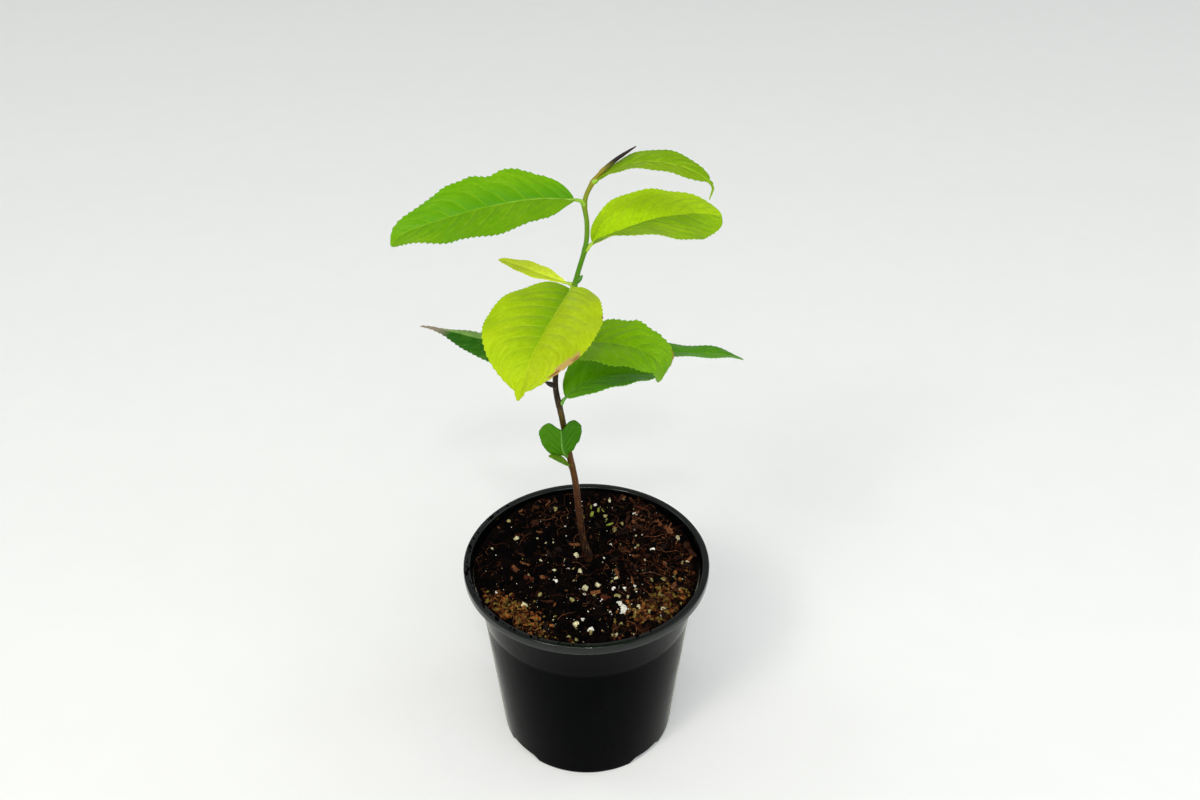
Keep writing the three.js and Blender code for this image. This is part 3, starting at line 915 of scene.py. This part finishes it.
def makeBarkMaterial():
    # young tea bark, grown: red-brown and corky below, smooth and green towards the tip, with pale pores.
    # The borders between its tones waver by several millimetres
    material, tree, place = startMaterial('youngTeaBark')
    parts = addNode(tree, 'SeparateXYZ', {0: place})
    drift = addNode(tree, 'TexNoise', {'Vector': place, 'Scale': perMetre(7), 'Detail': 3.0})
    height = addNode(tree, 'Math', {0: drift, 1: 14 * mm, 2: parts.outputs['Z']}, operation='MULTIPLY_ADD')
    share = addNode(tree, 'MapRange', {0: height, 1: 90 * mm, 2: 275 * mm})
    ramp = addNode(tree, 'ValToRGB', {0: share})
    elements = ramp.color_ramp.elements
    elements[0].color = linear(barkTones[0][1])
    elements[1].color = linear(barkTones[-1][1])
    for share, colour in barkTones[1:-1]:
        elements.new(share).color = linear(colour)
    long = addNode(tree, 'Mapping', {'Vector': place, 'Scale': (1, 1, 0.16)})
    streaks = addNode(tree, 'TexNoise', {'Vector': long, 'Scale': perMetre(0.7), 'Detail': 4.0})
    pale = addNode(tree, 'MapRange', {0: streaks, 1: 0.5, 2: 0.72, 3: 0.0, 4: 0.3})
    streaked = addNode(tree, 'Mix', {0: pale, 6: ramp, 7: '#86602e'}, data_type='RGBA')
    pores = addNode(tree, 'TexVoronoi', {'Vector': place, 'Scale': perMetre(1.4)})
    dots = addNode(tree, 'MapRange', {0: pores, 1: 0.12, 2: 0.2, 3: 0.4, 4: 0.0})
    colour = addNode(tree, 'Mix', {0: dots, 6: streaked, 7: '#b08c5c'}, data_type='RGBA')
    relief = addNode(tree, 'Math', {0: streaks, 1: dots}, operation='ADD')
    bump = addNode(tree, 'Bump', {'Height': relief, 'Strength': 0.45, 'Distance': 0.15 * mm})
    endMaterial(tree, {'Base Color': colour, 'Roughness': 0.5, 'Specular IOR Level': 0.22, 'Normal': bump})
    return material


def makeGrowthMaterial(name, dark, light, grainSize, roughness):
    # small plain parts of the plant, grown: a dull gloss, and two tones in a soft grain
    material, tree, place = startMaterial(name)
    grain = addNode(tree, 'TexNoise', {'Vector': place, 'Scale': perMetre(grainSize), 'Detail': 4.0})
    share = addNode(tree, 'MapRange', {0: grain, 1: 0.35, 2: 0.65})
    colour = addNode(tree, 'Mix', {0: share, 6: dark, 7: light}, data_type='RGBA')
    bump = addNode(tree, 'Bump', {'Height': grain, 'Strength': 0.4, 'Distance': 0.1 * mm})
    endMaterial(tree, {
        'Base Color': colour, 'Roughness': roughness, 'Specular IOR Level': 0.4, 'Normal': bump})
    return material


makeStem(makeBarkMaterial())
makeSideBud('dry_stub', makeGrowthMaterial(
    'driedTwigStub', '#0e0806', '#22140c', grainSize=0.8, roughness=0.7))
makeSideBud('side_bud', makeGrowthMaterial(
    'greenBudScale', '#376e0c', '#4f8a18', grainSize=0.8, roughness=0.45))
print('stem modelled')


# End bud: a closed spear of rolled young leaf, dark towards its point

endBud = {
    'points': [(6.2, 7.2, 265.6), (12, 6.95, 270.9), (18.4, 6.5, 275.6)],
    'radius': 1.05, 'tip': 0.08, 'overlap': 0.16, 'turns': 1.2, 'sides': 32, 'steps': 110,
}


def makeEndBud(material):
    spine = Path(endBud['points'])

    def spear(along, angle):
        body = np.sqrt(np.clip(1 - along, 0, 1)) * (0.85 + 0.6 * along * (1 - along))
        seam = ((angle / (2 * np.pi) + endBud['turns'] * along) % 1)
        lap = 1 - endBud['overlap'] * seam * smoothStep(along, 0.02, 0.2)
        return endBud['tip'] + (endBud['radius'] - endBud['tip']) * body * lap

    piece = rollTube(spine, spear, endBud['sides'], endBud['steps'], back)
    shadeSmooth(piece, 50)
    dress(piece, 'end_bud', [material], ['tip_bud'])


def makeBudMaterial():
    # rolled bud leaf with fine down: purple-brown, and yellow-green at its foot
    material, tree, place = startMaterial('downyBudScale')
    parts = addNode(tree, 'SeparateXYZ', {0: place})
    share = addNode(tree, 'MapRange', {0: parts.outputs['Z'], 1: 265.5 * mm, 2: 270.5 * mm})
    fine = addNode(tree, 'TexNoise', {'Vector': place, 'Scale': perMetre(0.5), 'Detail': 5.0})
    spear = addNode(tree, 'Mix', {0: fine, 6: '#0c0707', 7: '#291a15'}, data_type='RGBA')
    colour = addNode(tree, 'Mix', {0: share, 6: '#8f8a24', 7: spear}, data_type='RGBA')
    bump = addNode(tree, 'Bump', {'Height': fine, 'Strength': 0.5, 'Distance': 0.1 * mm})
    endMaterial(tree, {
        'Base Color': colour, 'Roughness': 0.55, 'Specular IOR Level': 0.25, 'Sheen Weight': 0.08,
        'Normal': bump})
    return material


makeEndBud(makeBudMaterial())
print('end bud modelled')


# Leaves: every blade is laid on its midrib, as the plant's solids are, with veins, teeth and relief

blade = {
    'thickness': 0.34, 'tipHalfWidth': 0.14, 'bulge': 0.1, 'waves': 3.5, 'cell': 0.42,
    'toothGap': 2.1, 'toothDepth': 0.6, 'toothHook': 1.3, 'veinGap': 6.8, 'veinReach': 0.62,
    'veinSink': 0.14, 'puff': 0.34, 'groove': 0.3, 'grooveWidth': 0.5, 'smallWidth': 16,
}
stalk = {
    'footRadius': 0.85, 'endRadius': 0.5, 'tipRadius': 0.13, 'sides': 14, 'steps': 60, 'into': 0.8,
    'reach': 0.97, 'socket': 0.35, 'socketLength': 0.9, 'under': 0.12,
}
# The bare petiole, the width and the wave of the edge are in mm.
# widest below 1 puts the widest place nearer the foot, and a blunt below 1 makes that end fuller.
# Angles are in degrees: roll turns the blade about its midrib, and fold lifts each half, (foot, tip).
# Side 1 is the right-hand half, seen from the foot of the leaf, and side -1 the left-hand one.
# dents are (side, place along, depth in mm, length), and a dent below 0 is a bump.
# notch is how deep the tip is cut in, and corner how far its two corners are drawn back, as shares
# of the length. veinReach is how far forward the side veins arch, in half widths.
# bite makes the teeth deeper than on the other leaves, and rib and veins are how much these stand out.
# crease is where the fold shades a half: (side, how much, how far in mm, colour).
# dryTip is where the blade dries out: (place along where it starts, where it ends, colour).
# drip is (where the blade proper ends, half width in mm of the thin tip beyond it).
# spots are (side place, place along, half sizes of the two, colour).
# tints are (foot, tip) of side -1 and of side 1, and deep is the colour of the shady grain. On some leaves
# one half's tints are darker as painted shade.
leaves = {
    'leaf_heart': {
        'midrib': [(-7.6, 5.5, 143), (-8.2, 2.9, 145.4), (-9.2, 1.3, 150.5), (-9.6, 0.7, 163.3)],
        'petiole': 2.6, 'width': 18.5, 'widest': 0.8, 'baseBlunt': 0.6, 'tipBlunt': 0.6, 'notch': 0.21,
        'corner': 0.3, 'roll': (34, 34), 'fold': (16, 22), 'wave': 0.2, 'veinReach': 0.9,
        'slot': 'leaf_dark', 'tints': (('#346e00', '#306a00'), ('#3a7000', '#407a02')), 'vein': '#4a8212',
        'rib': 0.1, 'bite': 0.4,
    },
    'leaf_tiny': {
        'midrib': [(-5.8, 5.5, 137.6), (-8, 3.9, 140), (-11, 2.6, 142.9), (-15, 1.2, 146)],
        'petiole': 1.5, 'width': 5.6, 'widest': 0.9, 'baseBlunt': 0.8, 'tipBlunt': 0.9,
        'roll': (-10, -10), 'fold': (15, 15), 'wave': 0,
        'slot': 'leaf_dark', 'tints': (('#5c8a06', '#4a7a06'), ('#64900a', '#4c7c06')), 'vein': '#7aa228',
    },
    'leaf_lower_right': {
        'midrib': [
            (-10.2, 6.8, 167), (-7, 8, 170.5), (-0.5, 11, 174.5), (10.5, 16, 175.5), (24, 21, 172.5),
            (30, 23, 169)],
        'petiole': 4, 'width': 27, 'widest': 0.83, 'baseBlunt': 0.75, 'tipBlunt': 0.85,
        'roll': (8, 0), 'fold': (20, 14), 'wave': 0.4,
        # its tints are lighter than its own green, to make up for the shade the broad leaf above casts on it:
        # partly painted light
        'slot': 'leaf_dark', 'tints': (('#549000', '#60a200'), ('#62a800', '#58a000')), 'vein': '#72aa1a',
    },
    'leaf_left_narrow': {
        'midrib': [
            (-9.8, 8.2, 187.5), (-19, 12, 189), (-41, 19.5, 189.8), (-52.5, 23, 191), (-66.5, 27, 191.5)],
        'petiole': 3, 'width': 18, 'widest': 0.7, 'baseBlunt': 0.8, 'tipBlunt': 1.6,
        'roll': (-6, -6), 'fold': (-25, -20), 'wave': 0.3,
        # side -1, the half that hangs down at the front, has dark tints and a dark deep grain: painted shade
        'slot': 'leaf_dark', 'tints': (('#184e00', '#1c5200'), ('#528a20', '#8caa58')), 'vein': '#5c9030',
        'deep': '#1c4e02', 'dryTip': (0.8, 0.9, '#8c7f6e'),
    },
    'leaf_right_broad': {
        'midrib': [
            (-9, 8.3, 194.5), (-0.5, 5, 197), (10.5, 0.5, 199.5), (21.5, -4, 199), (28, -7, 195.5),
            (28.5, -9, 188)],
        'petiole': 3, 'width': 28, 'widest': 0.84, 'baseBlunt': 0.64, 'tipBlunt': 0.55,
        'roll': (8, 6), 'fold': (6, 4), 'wave': 0.5, 'veinReach': 1.0, 'bite': 1.6,
        'dents': [(-1, 0.5, -0.7, 0.04), (-1, 0.62, 0.5, 0.04), (-1, 0.7, -0.5, 0.03), (1, 0.9, 0.8, 0.03)],
        'slot': 'leaf_green', 'tints': (('#80b402', '#629802'), ('#82b402', '#649a02')), 'vein': '#92ba1e',
        'rib': 0.3, 'veins': 0.42, 'crease': (1, 0.45, 5, '#548a00'),
        'spots': [(-0.98, 0.86, 0.1, 0.05, '#8a7a2a')],
    },
    'leaf_far_right': {
        'midrib': [
            (-9.6, 8.3, 189.5), (2.5, 11, 189.5), (19.5, 15.5, 187), (41, 20, 183), (54, 23, 180.8),
            (64, 25, 177)],
        'petiole': 4, 'width': 18, 'widest': 0.92, 'baseBlunt': 0.8, 'tipBlunt': 0.55,
        'roll': (-22, -8), 'fold': (6, 8), 'wave': 0.4, 'bite': 1.5,
        'slot': 'leaf_dark', 'tints': (('#488a00', '#428200'), ('#468600', '#4e8e00')), 'vein': '#6aa21a',
    },
    'leaf_front_broad': {
        'midrib': [
            (-4, 7.1, 219.5), (-5, 3.2, 221), (-8, -9, 222), (-13.5, -29, 221.5), (-17.5, -44, 220),
            (-21.5, -59, 213.5)],
        'petiole': 4, 'width': 42, 'widest': 1.15, 'baseBlunt': 0.5, 'tipBlunt': 0.76,
        'roll': (-3, 5), 'fold': (24, 4), 'wave': 0.5, 'drip': (0.96, 1.6),
        # side 1 is darker at its foot than side -1: painted shade of the fold, as its crease is
        'slot': 'leaf_young', 'tints': (('#b0ca0a', '#96ac00'), ('#80aa00', '#a4be02')), 'vein': '#bed22c',
        'rib': 0.16, 'crease': (1, 0.85, 10, '#6c9a00'),
        'spots': [
            (-0.96, 0.79, 0.15, 0.09, '#b58e58'), (-0.84, 0.8, 0.08, 0.03, '#b58e58'),
            (-0.92, 0.84, 0.06, 0.03, '#7d4c2c'), (-0.97, 0.74, 0.06, 0.02, '#8f6238'),
            (-1.0, 0.4, 0.035, 0.015, '#8a5a34')],
    },
    'leaf_small_left': {
        'midrib': [
            (-3.7, 7, 220.5), (-8.5, 10.1, 220.8), (-17, 16, 220.8), (-24.5, 21, 221.3), (-33.5, 26, 221.8)],
        'petiole': 3, 'width': 9, 'widest': 0.95, 'baseBlunt': 1.25, 'tipBlunt': 0.7,
        'roll': (0, -5), 'fold': (10, 10), 'wave': 0.2,
        'slot': 'leaf_young', 'tints': (('#cade18', '#bcd404'), ('#ecfc44', '#dcf02c')), 'vein': '#e6f048',
    },
    'leaf_upper_right': {
        'midrib': [
            (0.3, 6.3, 235.5), (4, 7.1, 238.5), (14.5, 10.8, 242), (25, 15, 244), (34.5, 18.5, 244),
            (42.5, 22, 243), (52, 25, 240.5)],
        'petiole': 4, 'width': 32, 'widest': 0.8, 'baseBlunt': 0.65, 'tipBlunt': 0.42,
        'roll': (-9, 30), 'fold': (28, -14), 'wave': 0.3, 'veinReach': 1.1,
        # side 1, the lower half, has darker tints: painted shade of the fold, as its crease is
        'slot': 'leaf_young', 'tints': (('#9ec600', '#a4cc00'), ('#668c00', '#80ae00')), 'vein': '#b4d21c',
        'rib': 0.25, 'crease': (1, 0.6, 6, '#5e8a00'),
    },
    'leaf_upper_left': {
        'midrib': [
            (0.4, 6.9, 253), (-2.5, 6.1, 255.5), (-17, 4, 257), (-35, 2, 254.5), (-52.5, 0, 250),
            (-64, -1.5, 246), (-69, -2, 241.5)],
        'petiole': 5, 'width': 29, 'widest': 0.83, 'baseBlunt': 0.8, 'tipBlunt': 0.7,
        'roll': (-22, -24), 'fold': (8, 6), 'wave': 0.7, 'veinReach': 0.8, 'bite': 1.3,
        'dents': [
            (1, 0.41, 1.9, 0.05), (1, 0.26, -0.9, 0.06), (1, 0.51, -0.9, 0.04), (1, 0.7, 0.4, 0.04),
            (-1, 0.05, 0.8, 0.04), (-1, 0.62, 0.4, 0.03)],
        'slot': 'leaf_green', 'tints': (('#5e9000', '#588e00'), ('#66a000', '#5a9800')), 'vein': '#88b014',
        'rib': 0.3, 'veins': 0.3, 'crease': (1, 0.95, 10, '#468600'),
    },
    'leaf_top_arched': {
        'midrib': [
            (3.4, 7.3, 261.8), (10.5, 5.3, 267.5), (21, 1.1, 272.2), (30.5, -3, 273), (38.5, -6, 271.2),
            (44.2, -8, 267.2), (43.5, -9, 262.5)],
        'petiole': 2, 'width': 13.5, 'widest': 0.93, 'baseBlunt': 0.6, 'tipBlunt': 0.55,
        'roll': (4, 12), 'fold': (10, 8), 'wave': 0.3, 'veinReach': 1.6, 'drip': (0.86, 0.5),
        'dents': [(1, 0.7, -1.6, 0.1)],
        'slot': 'leaf_green', 'tints': (('#6e9600', '#689200'), ('#7a9e00', '#749a00')), 'vein': '#9cbc28',
    },
}


def turnAbout(axis, vectors, angle):
    cosine, sine = np.cos(angle)[:, None], np.sin(angle)[:, None]
    lengthwise = axis * np.sum(axis * vectors, axis=1)[:, None]
    return vectors * cosine + np.cross(axis, vectors) * sine + lengthwise * (1 - cosine)


def between(pair, share):
    return pair[0] + (pair[1] - pair[0]) * share


def halfWidthOf(leaf, along):
    drip, dripHalf = leaf.get('drip', (1, 0))
    main = np.minimum(1, along / drip)
    blunt = between((leaf['baseBlunt'], leaf['tipBlunt']), main)
    turn = np.pi / 2 if 'corner' in leaf else np.pi
    outline = np.maximum(0, np.sin(turn * main ** leaf['widest'])) ** blunt
    tail = dripHalf * (1 - 0.7 * smoothStep(along, drip, 1)) * (along > 0.5)
    return np.maximum(np.maximum(blade['tipHalfWidth'], tail), leaf['width'] / 2 * outline)


def bladeFrame(leaf, path, level, start, along, reach):
    # where the midrib is, and the blade's side and up directions there
    place = start + (1 - start) * reach
    tangent = path.tangent(place)
    roll = np.radians(between(leaf['roll'], along))
    side = turnAbout(tangent, squareTo(tangent, level), roll)
    return path.at(place), side, np.cross(side, tangent)


def cutTeeth(leaf, along, away, length):
    # how far the edge stands out: the teeth point towards the tip, and none are near the two ends
    teeth = max(6, round(length / blade['toothGap']))
    small = min(1, leaf['width'] / blade['smallWidth'])
    ends = smoothStep(along, 0.06, 0.16) * (1 - smoothStep(along, 0.93, 0.99))
    depth = blade['toothDepth'] * leaf.get('bite', 1) * small * ends
    return depth * (((along * teeth) % 1) ** blade['toothHook'] - 0.5) * away ** 14


def raiseVeins(leaf, along, x, half, phase, veinGap):
    # the veins and the midrib lie sunk, and the blade is puffed up between them
    away = np.abs(x)
    small = min(1, leaf['width'] / blade['smallWidth'])
    toVein = np.abs(phase - np.round(phase))
    inside = np.clip(half / 6, 0, 1) * (1 - away ** 3)
    puff = blade['puff'] * np.sin(np.pi * toVein) ** 2 * np.sin(np.pi * away ** 0.7) * inside
    sunk = blade['veinSink'] * bell(toVein * veinGap, 0, 0.5) * inside * smoothStep(away, 0, 0.1)
    groove = blade['groove'] * bell(x * half, 0, blade['grooveWidth']) * (1 - 0.7 * along) * small
    return puff - sunk - groove


def layBlade(leaf, path, level, start):
    length = path.length * (1 - start)
    across = 2 * max(8, round(leaf['width'] / 2 / blade['cell']))
    steps = max(40, round(length / blade['cell']))
    bpy.ops.mesh.primitive_grid_add(x_subdivisions=across, y_subdivisions=steps, size=2)
    piece = bpy.context.object
    piece.data.uv_layers[0].name = 'ownMap'
    flat = readPoints(piece)
    x, along = flat[:, 0], (flat[:, 1] + 1) / 2
    away = np.abs(x)
    reach = along * (1 - leaf.get('notch', 0) * bell(x, 0, 0.4) - leaf.get('corner', 0) * away ** 3)
    centre, side, over = bladeFrame(leaf, path, level, start, along, reach)
    fold = np.radians(between(leaf['fold'], along))
    half = halfWidthOf(leaf, along)
    for dentSide, dentPlace, depth, size in leaf.get('dents', []):
        half = half - depth * (x * dentSide > 0) * bell(along, dentPlace, size)

    # the side veins leave the midrib in turn and arch forward
    veins = max(4, round(length / blade['veinGap']))
    lean = leaf.get('veinReach', blade['veinReach']) * leaf['width'] / 2 / length
    phase = (along - lean * away * (0.8 + 0.7 * away ** 2)) * veins + 0.5 * (x > 0)

    out = half * x + np.sign(x) * cutTeeth(leaf, along, away, length)
    bulge = half * (away * np.sin(fold) + blade['bulge'] * away * (1 - away))
    wave = leaf['wave'] * away ** 2 * np.sin(blade['waves'] * 2 * np.pi * along + 2 * (x <= 0))
    rise = bulge + wave + raiseVeins(leaf, along, x, half, phase, length / veins)
    points = centre + side * (out * np.cos(fold))[:, None] + over * rise[:, None]
    writePoints(piece, points * mm)
    leafPlace = piece.data.attributes.new('leafPlace', 'FLOAT_VECTOR', 'POINT')
    leafPlace.data.foreach_set('vector', np.stack([x, along, phase], 1).ravel())
    leafGap = piece.data.attributes.new('leafGap', 'FLOAT', 'POINT')
    leafGap.data.foreach_set('value', away * half)
    applyModifier(
        piece, 'SOLIDIFY', thickness=blade['thickness'] * mm, offset=-1, use_rim=True, material_offset=1)
    return piece


def layStalk(leaf, path, level, start):
    # the round stalk runs on under the blade as its midrib, and starts inside the stem
    foot = min(stalk['footRadius'], leaf['width'] / 8)
    end = min(stalk['endRadius'], foot * 0.7)
    inward = -stalk['into'] / path.length
    tip = start + (stalk['reach'] - start) * (1 - leaf.get('notch', 0))

    def radiusAt(along, angle):
        place = inward + (tip - inward) * along
        free = foot + (end - foot) * np.clip(place / start, 0, 1)
        under = end + (stalk['tipRadius'] - end) * np.clip((place - start) / (1 - start), 0, 1) ** 0.7
        socket = stalk['socket'] * foot * bell(place, 0, stalk['socketLength'] / path.length)
        return np.where(place < start, free, under) + socket

    def dropAt(along):
        place = inward + (tip - inward) * along
        return (blade['thickness'] + stalk['under']) * smoothStep(place, start * 0.6, start * 1.6)

    return rollTube(path, radiusAt, stalk['sides'], stalk['steps'], level, 0, tip, dropAt)


def shadeOf(hexColour, share):
    # a darker tone of a colour, which keeps this share of its light
    return '#' + ''.join(f'{round(int(hexColour[i:i + 2], 16) * share):02x}' for i in (1, 3, 5))


def makeLeaf(name, leaf):
    path = Path(leaf['midrib'])
    chord = path.trail[-1] - path.trail[0]
    level = unit(np.cross(chord, up))
    start = leaf['petiole'] / path.length
    piece = layBlade(leaf, path, level, start)
    rib = layStalk(leaf, path, level, start)
    materials = [
        makeLeafMaterial('waxyTea' + name.title().replace('_', ''), leaf),
        underside[leaf['slot']],
        stalkGreen[leaf['slot']],
    ]
    for face in rib.data.polygons:
        face.material_index = 2
    for material in materials:
        piece.data.materials.append(material)
        rib.data.materials.append(material)
    piece = joinPieces([piece, rib])
    shadeSmooth(piece, 60)
    dress(piece, name + '_blade', [], [name])


def drawVeins(tree, leaf, x, phase, gap):
    # the midrib, and the side veins, which fade towards the edge
    away = addNode(tree, 'Math', {0: x}, operation='ABSOLUTE')
    toVein = addNode(tree, 'Math', {0: phase, 1: 0.5}, operation='PINGPONG')
    vein = addNode(tree, 'MapRange', {0: toVein, 1: 0.015, 2: 0.07, 3: leaf.get('veins', 0.26), 4: 0.0})
    fading = addNode(tree, 'MapRange', {0: away, 1: 0.2, 2: 0.95, 3: 1.0, 4: 0.2})
    faded = addNode(tree, 'Math', {0: vein, 1: fading}, operation='MULTIPLY')
    rib = addNode(tree, 'MapRange', {0: gap, 1: 0.15, 2: 0.5, 3: leaf.get('rib', 0.46), 4: 0.0})
    return addNode(tree, 'Math', {0: faded, 1: rib}, operation='MAXIMUM')


def layTints(tree, leaf, x, along, clouds):
    # the two halves differ in tone, on some leaves as painted shade, and each changes from its foot to its
    # tip
    uneven = addNode(tree, 'MapRange', {0: clouds, 1: 0.3, 2: 0.7, 3: -0.25, 4: 0.25})
    share = addNode(tree, 'Math', {0: along, 1: uneven}, operation='ADD', use_clamp=True)
    left, right = [
        addNode(tree, 'Mix', {0: share, 6: foot, 7: tip}, data_type='RGBA') for foot, tip in leaf['tints']]
    half = addNode(tree, 'MapRange', {0: x, 1: -0.04, 2: 0.04})
    return addNode(tree, 'Mix', {0: half, 6: left, 7: right}, data_type='RGBA')


def layGrain(tree, leaf, colour, place, along, phase, gap, fine):
    # sunny clouds, streaks drawn out along the side veins, a fine mottle, and the net of the finest
    # veins, whose meshes are drawn at twice their real size so that they show
    deep = leaf.get('deep', shadeOf(leaf['tints'][1][1], 0.8))
    broad = addNode(tree, 'TexNoise', {'Vector': place, 'Scale': perMetre(20), 'Detail': 2.0})
    veinWise = addNode(tree, 'CombineXYZ', {'X': phase, 'Y': gap, 'Z': along})
    drawn = addNode(tree, 'Mapping', {'Vector': veinWise, 'Scale': (1, 0.09, 0.4)})
    streaks = addNode(tree, 'TexNoise', {'Vector': drawn, 'Scale': 5.0, 'Detail': 4.0})  # 5 to a vein gap
    cells = addNode(
        tree, 'TexVoronoi', {'Vector': place, 'Scale': perMetre(1.3)}, feature='DISTANCE_TO_EDGE')
    layers = [
        ({0: broad, 1: 0.45, 2: 0.75, 3: 0.0, 4: 0.3}, leaf['vein']),
        ({0: streaks, 1: 0.5, 2: 0.72, 3: 0.0, 4: 0.38}, leaf['vein']),
        ({0: streaks, 1: 0.3, 2: 0.46, 3: 0.3, 4: 0.0}, deep),
        ({0: fine, 1: 0.35, 2: 0.62, 3: 0.2, 4: 0.0}, deep),
        ({0: cells, 1: 0.02, 2: 0.14, 3: 0.1, 4: 0.0}, leaf['vein'])]
    for settings, tone in layers:
        share = addNode(tree, 'MapRange', settings)
        colour = addNode(tree, 'Mix', {0: share, 6: colour, 7: tone}, data_type='RGBA')
    return colour


def shadeCrease(tree, leaf, colour, x, along, gap):
    # the fold shades one half beside the midrib, less and less towards the tip
    side, most, reach, tone = leaf['crease']
    half = addNode(tree, 'MapRange', {0: x, 1: 0.0, 2: 0.03 * side})
    near = addNode(tree, 'MapRange', {0: gap, 1: 0.0, 2: reach, 3: most, 4: 0.0})
    beside = addNode(tree, 'Math', {0: half, 1: near}, operation='MULTIPLY')
    fading = addNode(tree, 'MapRange', {0: along, 1: 0.45, 2: 0.95, 3: 1.0, 4: 0.0})
    share = addNode(tree, 'Math', {0: beside, 1: fading}, operation='MULTIPLY')
    return addNode(tree, 'Mix', {0: share, 6: colour, 7: tone}, data_type='RGBA')


def dryTip(tree, leaf, colour, along, clouds):
    # the tip has dried out, with an uneven front
    starts, ends, tone = leaf['dryTip']
    ragged = addNode(tree, 'Math', {0: clouds, 1: 0.08, 2: along}, operation='MULTIPLY_ADD')
    share = addNode(tree, 'MapRange', {0: ragged, 1: starts, 2: ends})
    return addNode(tree, 'Mix', {0: share, 6: colour, 7: tone}, data_type='RGBA')


def scorchSpot(tree, scorch, colour, spot, fine):
    # a scorched spot, ragged at its edge
    x, along, halfX, halfAlong, tone = scorch
    offset = addNode(tree, 'VectorMath', {0: spot, 1: (x, along, 0)}, operation='SUBTRACT')
    scaled = addNode(
        tree, 'VectorMath', {0: offset, 1: (1 / halfX, 1 / halfAlong, 0)}, operation='MULTIPLY')
    distance = addNode(tree, 'VectorMath', {0: scaled}, operation='LENGTH')
    ragged = addNode(tree, 'Math', {0: fine, 1: 1.6, 2: distance}, operation='MULTIPLY_ADD')
    share = addNode(tree, 'MapRange', {0: ragged, 1: 1.5, 2: 1.9, 3: 0.85, 4: 0.0})
    return addNode(tree, 'Mix', {0: share, 6: colour, 7: tone}, data_type='RGBA')


def makeLeafMaterial(name, leaf):
    # waxy upper side of a tea leaf, grown: a soft gloss over green, with faint, paler, sunken veins
    material, tree, place = startMaterial(name)
    spot = addNode(tree, 'Attribute', attribute_name='leafPlace').outputs['Vector']
    gap = addNode(tree, 'Attribute', attribute_name='leafGap').outputs['Fac']
    x, along, phase = addNode(tree, 'SeparateXYZ', {0: spot}).outputs
    clouds = addNode(tree, 'TexNoise', {'Vector': place, 'Scale': perMetre(9), 'Detail': 3.0})
    fine = addNode(tree, 'TexNoise', {'Vector': place, 'Scale': perMetre(1.1), 'Detail': 2.0})
    veins = drawVeins(tree, leaf, x, phase, gap)
    colour = layTints(tree, leaf, x, along, clouds)
    colour = layGrain(tree, leaf, colour, place, along, phase, gap, fine)
    if 'crease' in leaf:
        colour = shadeCrease(tree, leaf, colour, x, along, gap)
    colour = addNode(tree, 'Mix', {0: veins, 6: colour, 7: leaf['vein']}, data_type='RGBA')
    if 'dryTip' in leaf:
        colour = dryTip(tree, leaf, colour, along, clouds)
    for scorch in leaf.get('spots', []):
        colour = scorchSpot(tree, scorch, colour, spot, fine)
    height = addNode(tree, 'Math', {0: veins, 1: -0.8, 2: clouds}, operation='MULTIPLY_ADD')
    bump = addNode(tree, 'Bump', {'Height': height, 'Strength': 0.15, 'Distance': 0.1 * mm})
    gloss = addNode(tree, 'MapRange', {0: clouds, 1: 0.3, 2: 0.7, 3: 0.34, 4: 0.48})
    endMaterial(tree, {
        'Base Color': colour, 'Roughness': gloss, 'IOR': 1.45, 'Specular IOR Level': 0.11, 'Normal': bump})
    return material


def makeUndersideMaterial(name, dark, light):
    # the matt, paler back of a leaf, grown, where the veins stand out
    material, tree, place = startMaterial(name)
    spot = addNode(tree, 'Attribute', attribute_name='leafPlace').outputs['Vector']
    phase = addNode(tree, 'SeparateXYZ', {0: spot}).outputs['Z']
    clouds = addNode(tree, 'TexNoise', {'Vector': place, 'Scale': perMetre(7), 'Detail': 2.0})
    toVein = addNode(tree, 'Math', {0: phase, 1: 0.5}, operation='PINGPONG')
    veins = addNode(tree, 'MapRange', {0: toVein, 1: 0.02, 2: 0.08, 3: 0.7, 4: 0.0})
    share = addNode(tree, 'Math', {0: clouds, 1: veins}, operation='ADD', use_clamp=True)
    colour = addNode(tree, 'Mix', {0: share, 6: dark, 7: light}, data_type='RGBA')
    bump = addNode(tree, 'Bump', {'Height': veins, 'Strength': 0.15, 'Distance': 0.1 * mm})
    endMaterial(tree, {'Base Color': colour, 'Roughness': 0.65, 'Specular IOR Level': 0.2, 'Normal': bump})
    return material


underside = {
    'leaf_dark': makeUndersideMaterial('mattLeafBackDark', '#4f8428', '#7ca650'),
    'leaf_green': makeUndersideMaterial('mattLeafBackGreen', '#749e24', '#98be4c'),
    'leaf_young': makeUndersideMaterial('mattLeafBackYoung', '#9cba2c', '#c2da62'),
}
stalkGreen = {
    'leaf_dark': makeGrowthMaterial('teaStalkDark', '#4c8c1c', '#6aa036', grainSize=2, roughness=0.5),
    'leaf_green': makeGrowthMaterial('teaStalkGreen', '#7aa818', '#92b83a', grainSize=2, roughness=0.5),
    'leaf_young': makeGrowthMaterial('teaStalkYoung', '#9cbc1c', '#b0cc3c', grainSize=2, roughness=0.5),
}
for leafName, leaf in leaves.items():
    makeLeaf(leafName, leaf)
print('leaves modelled')
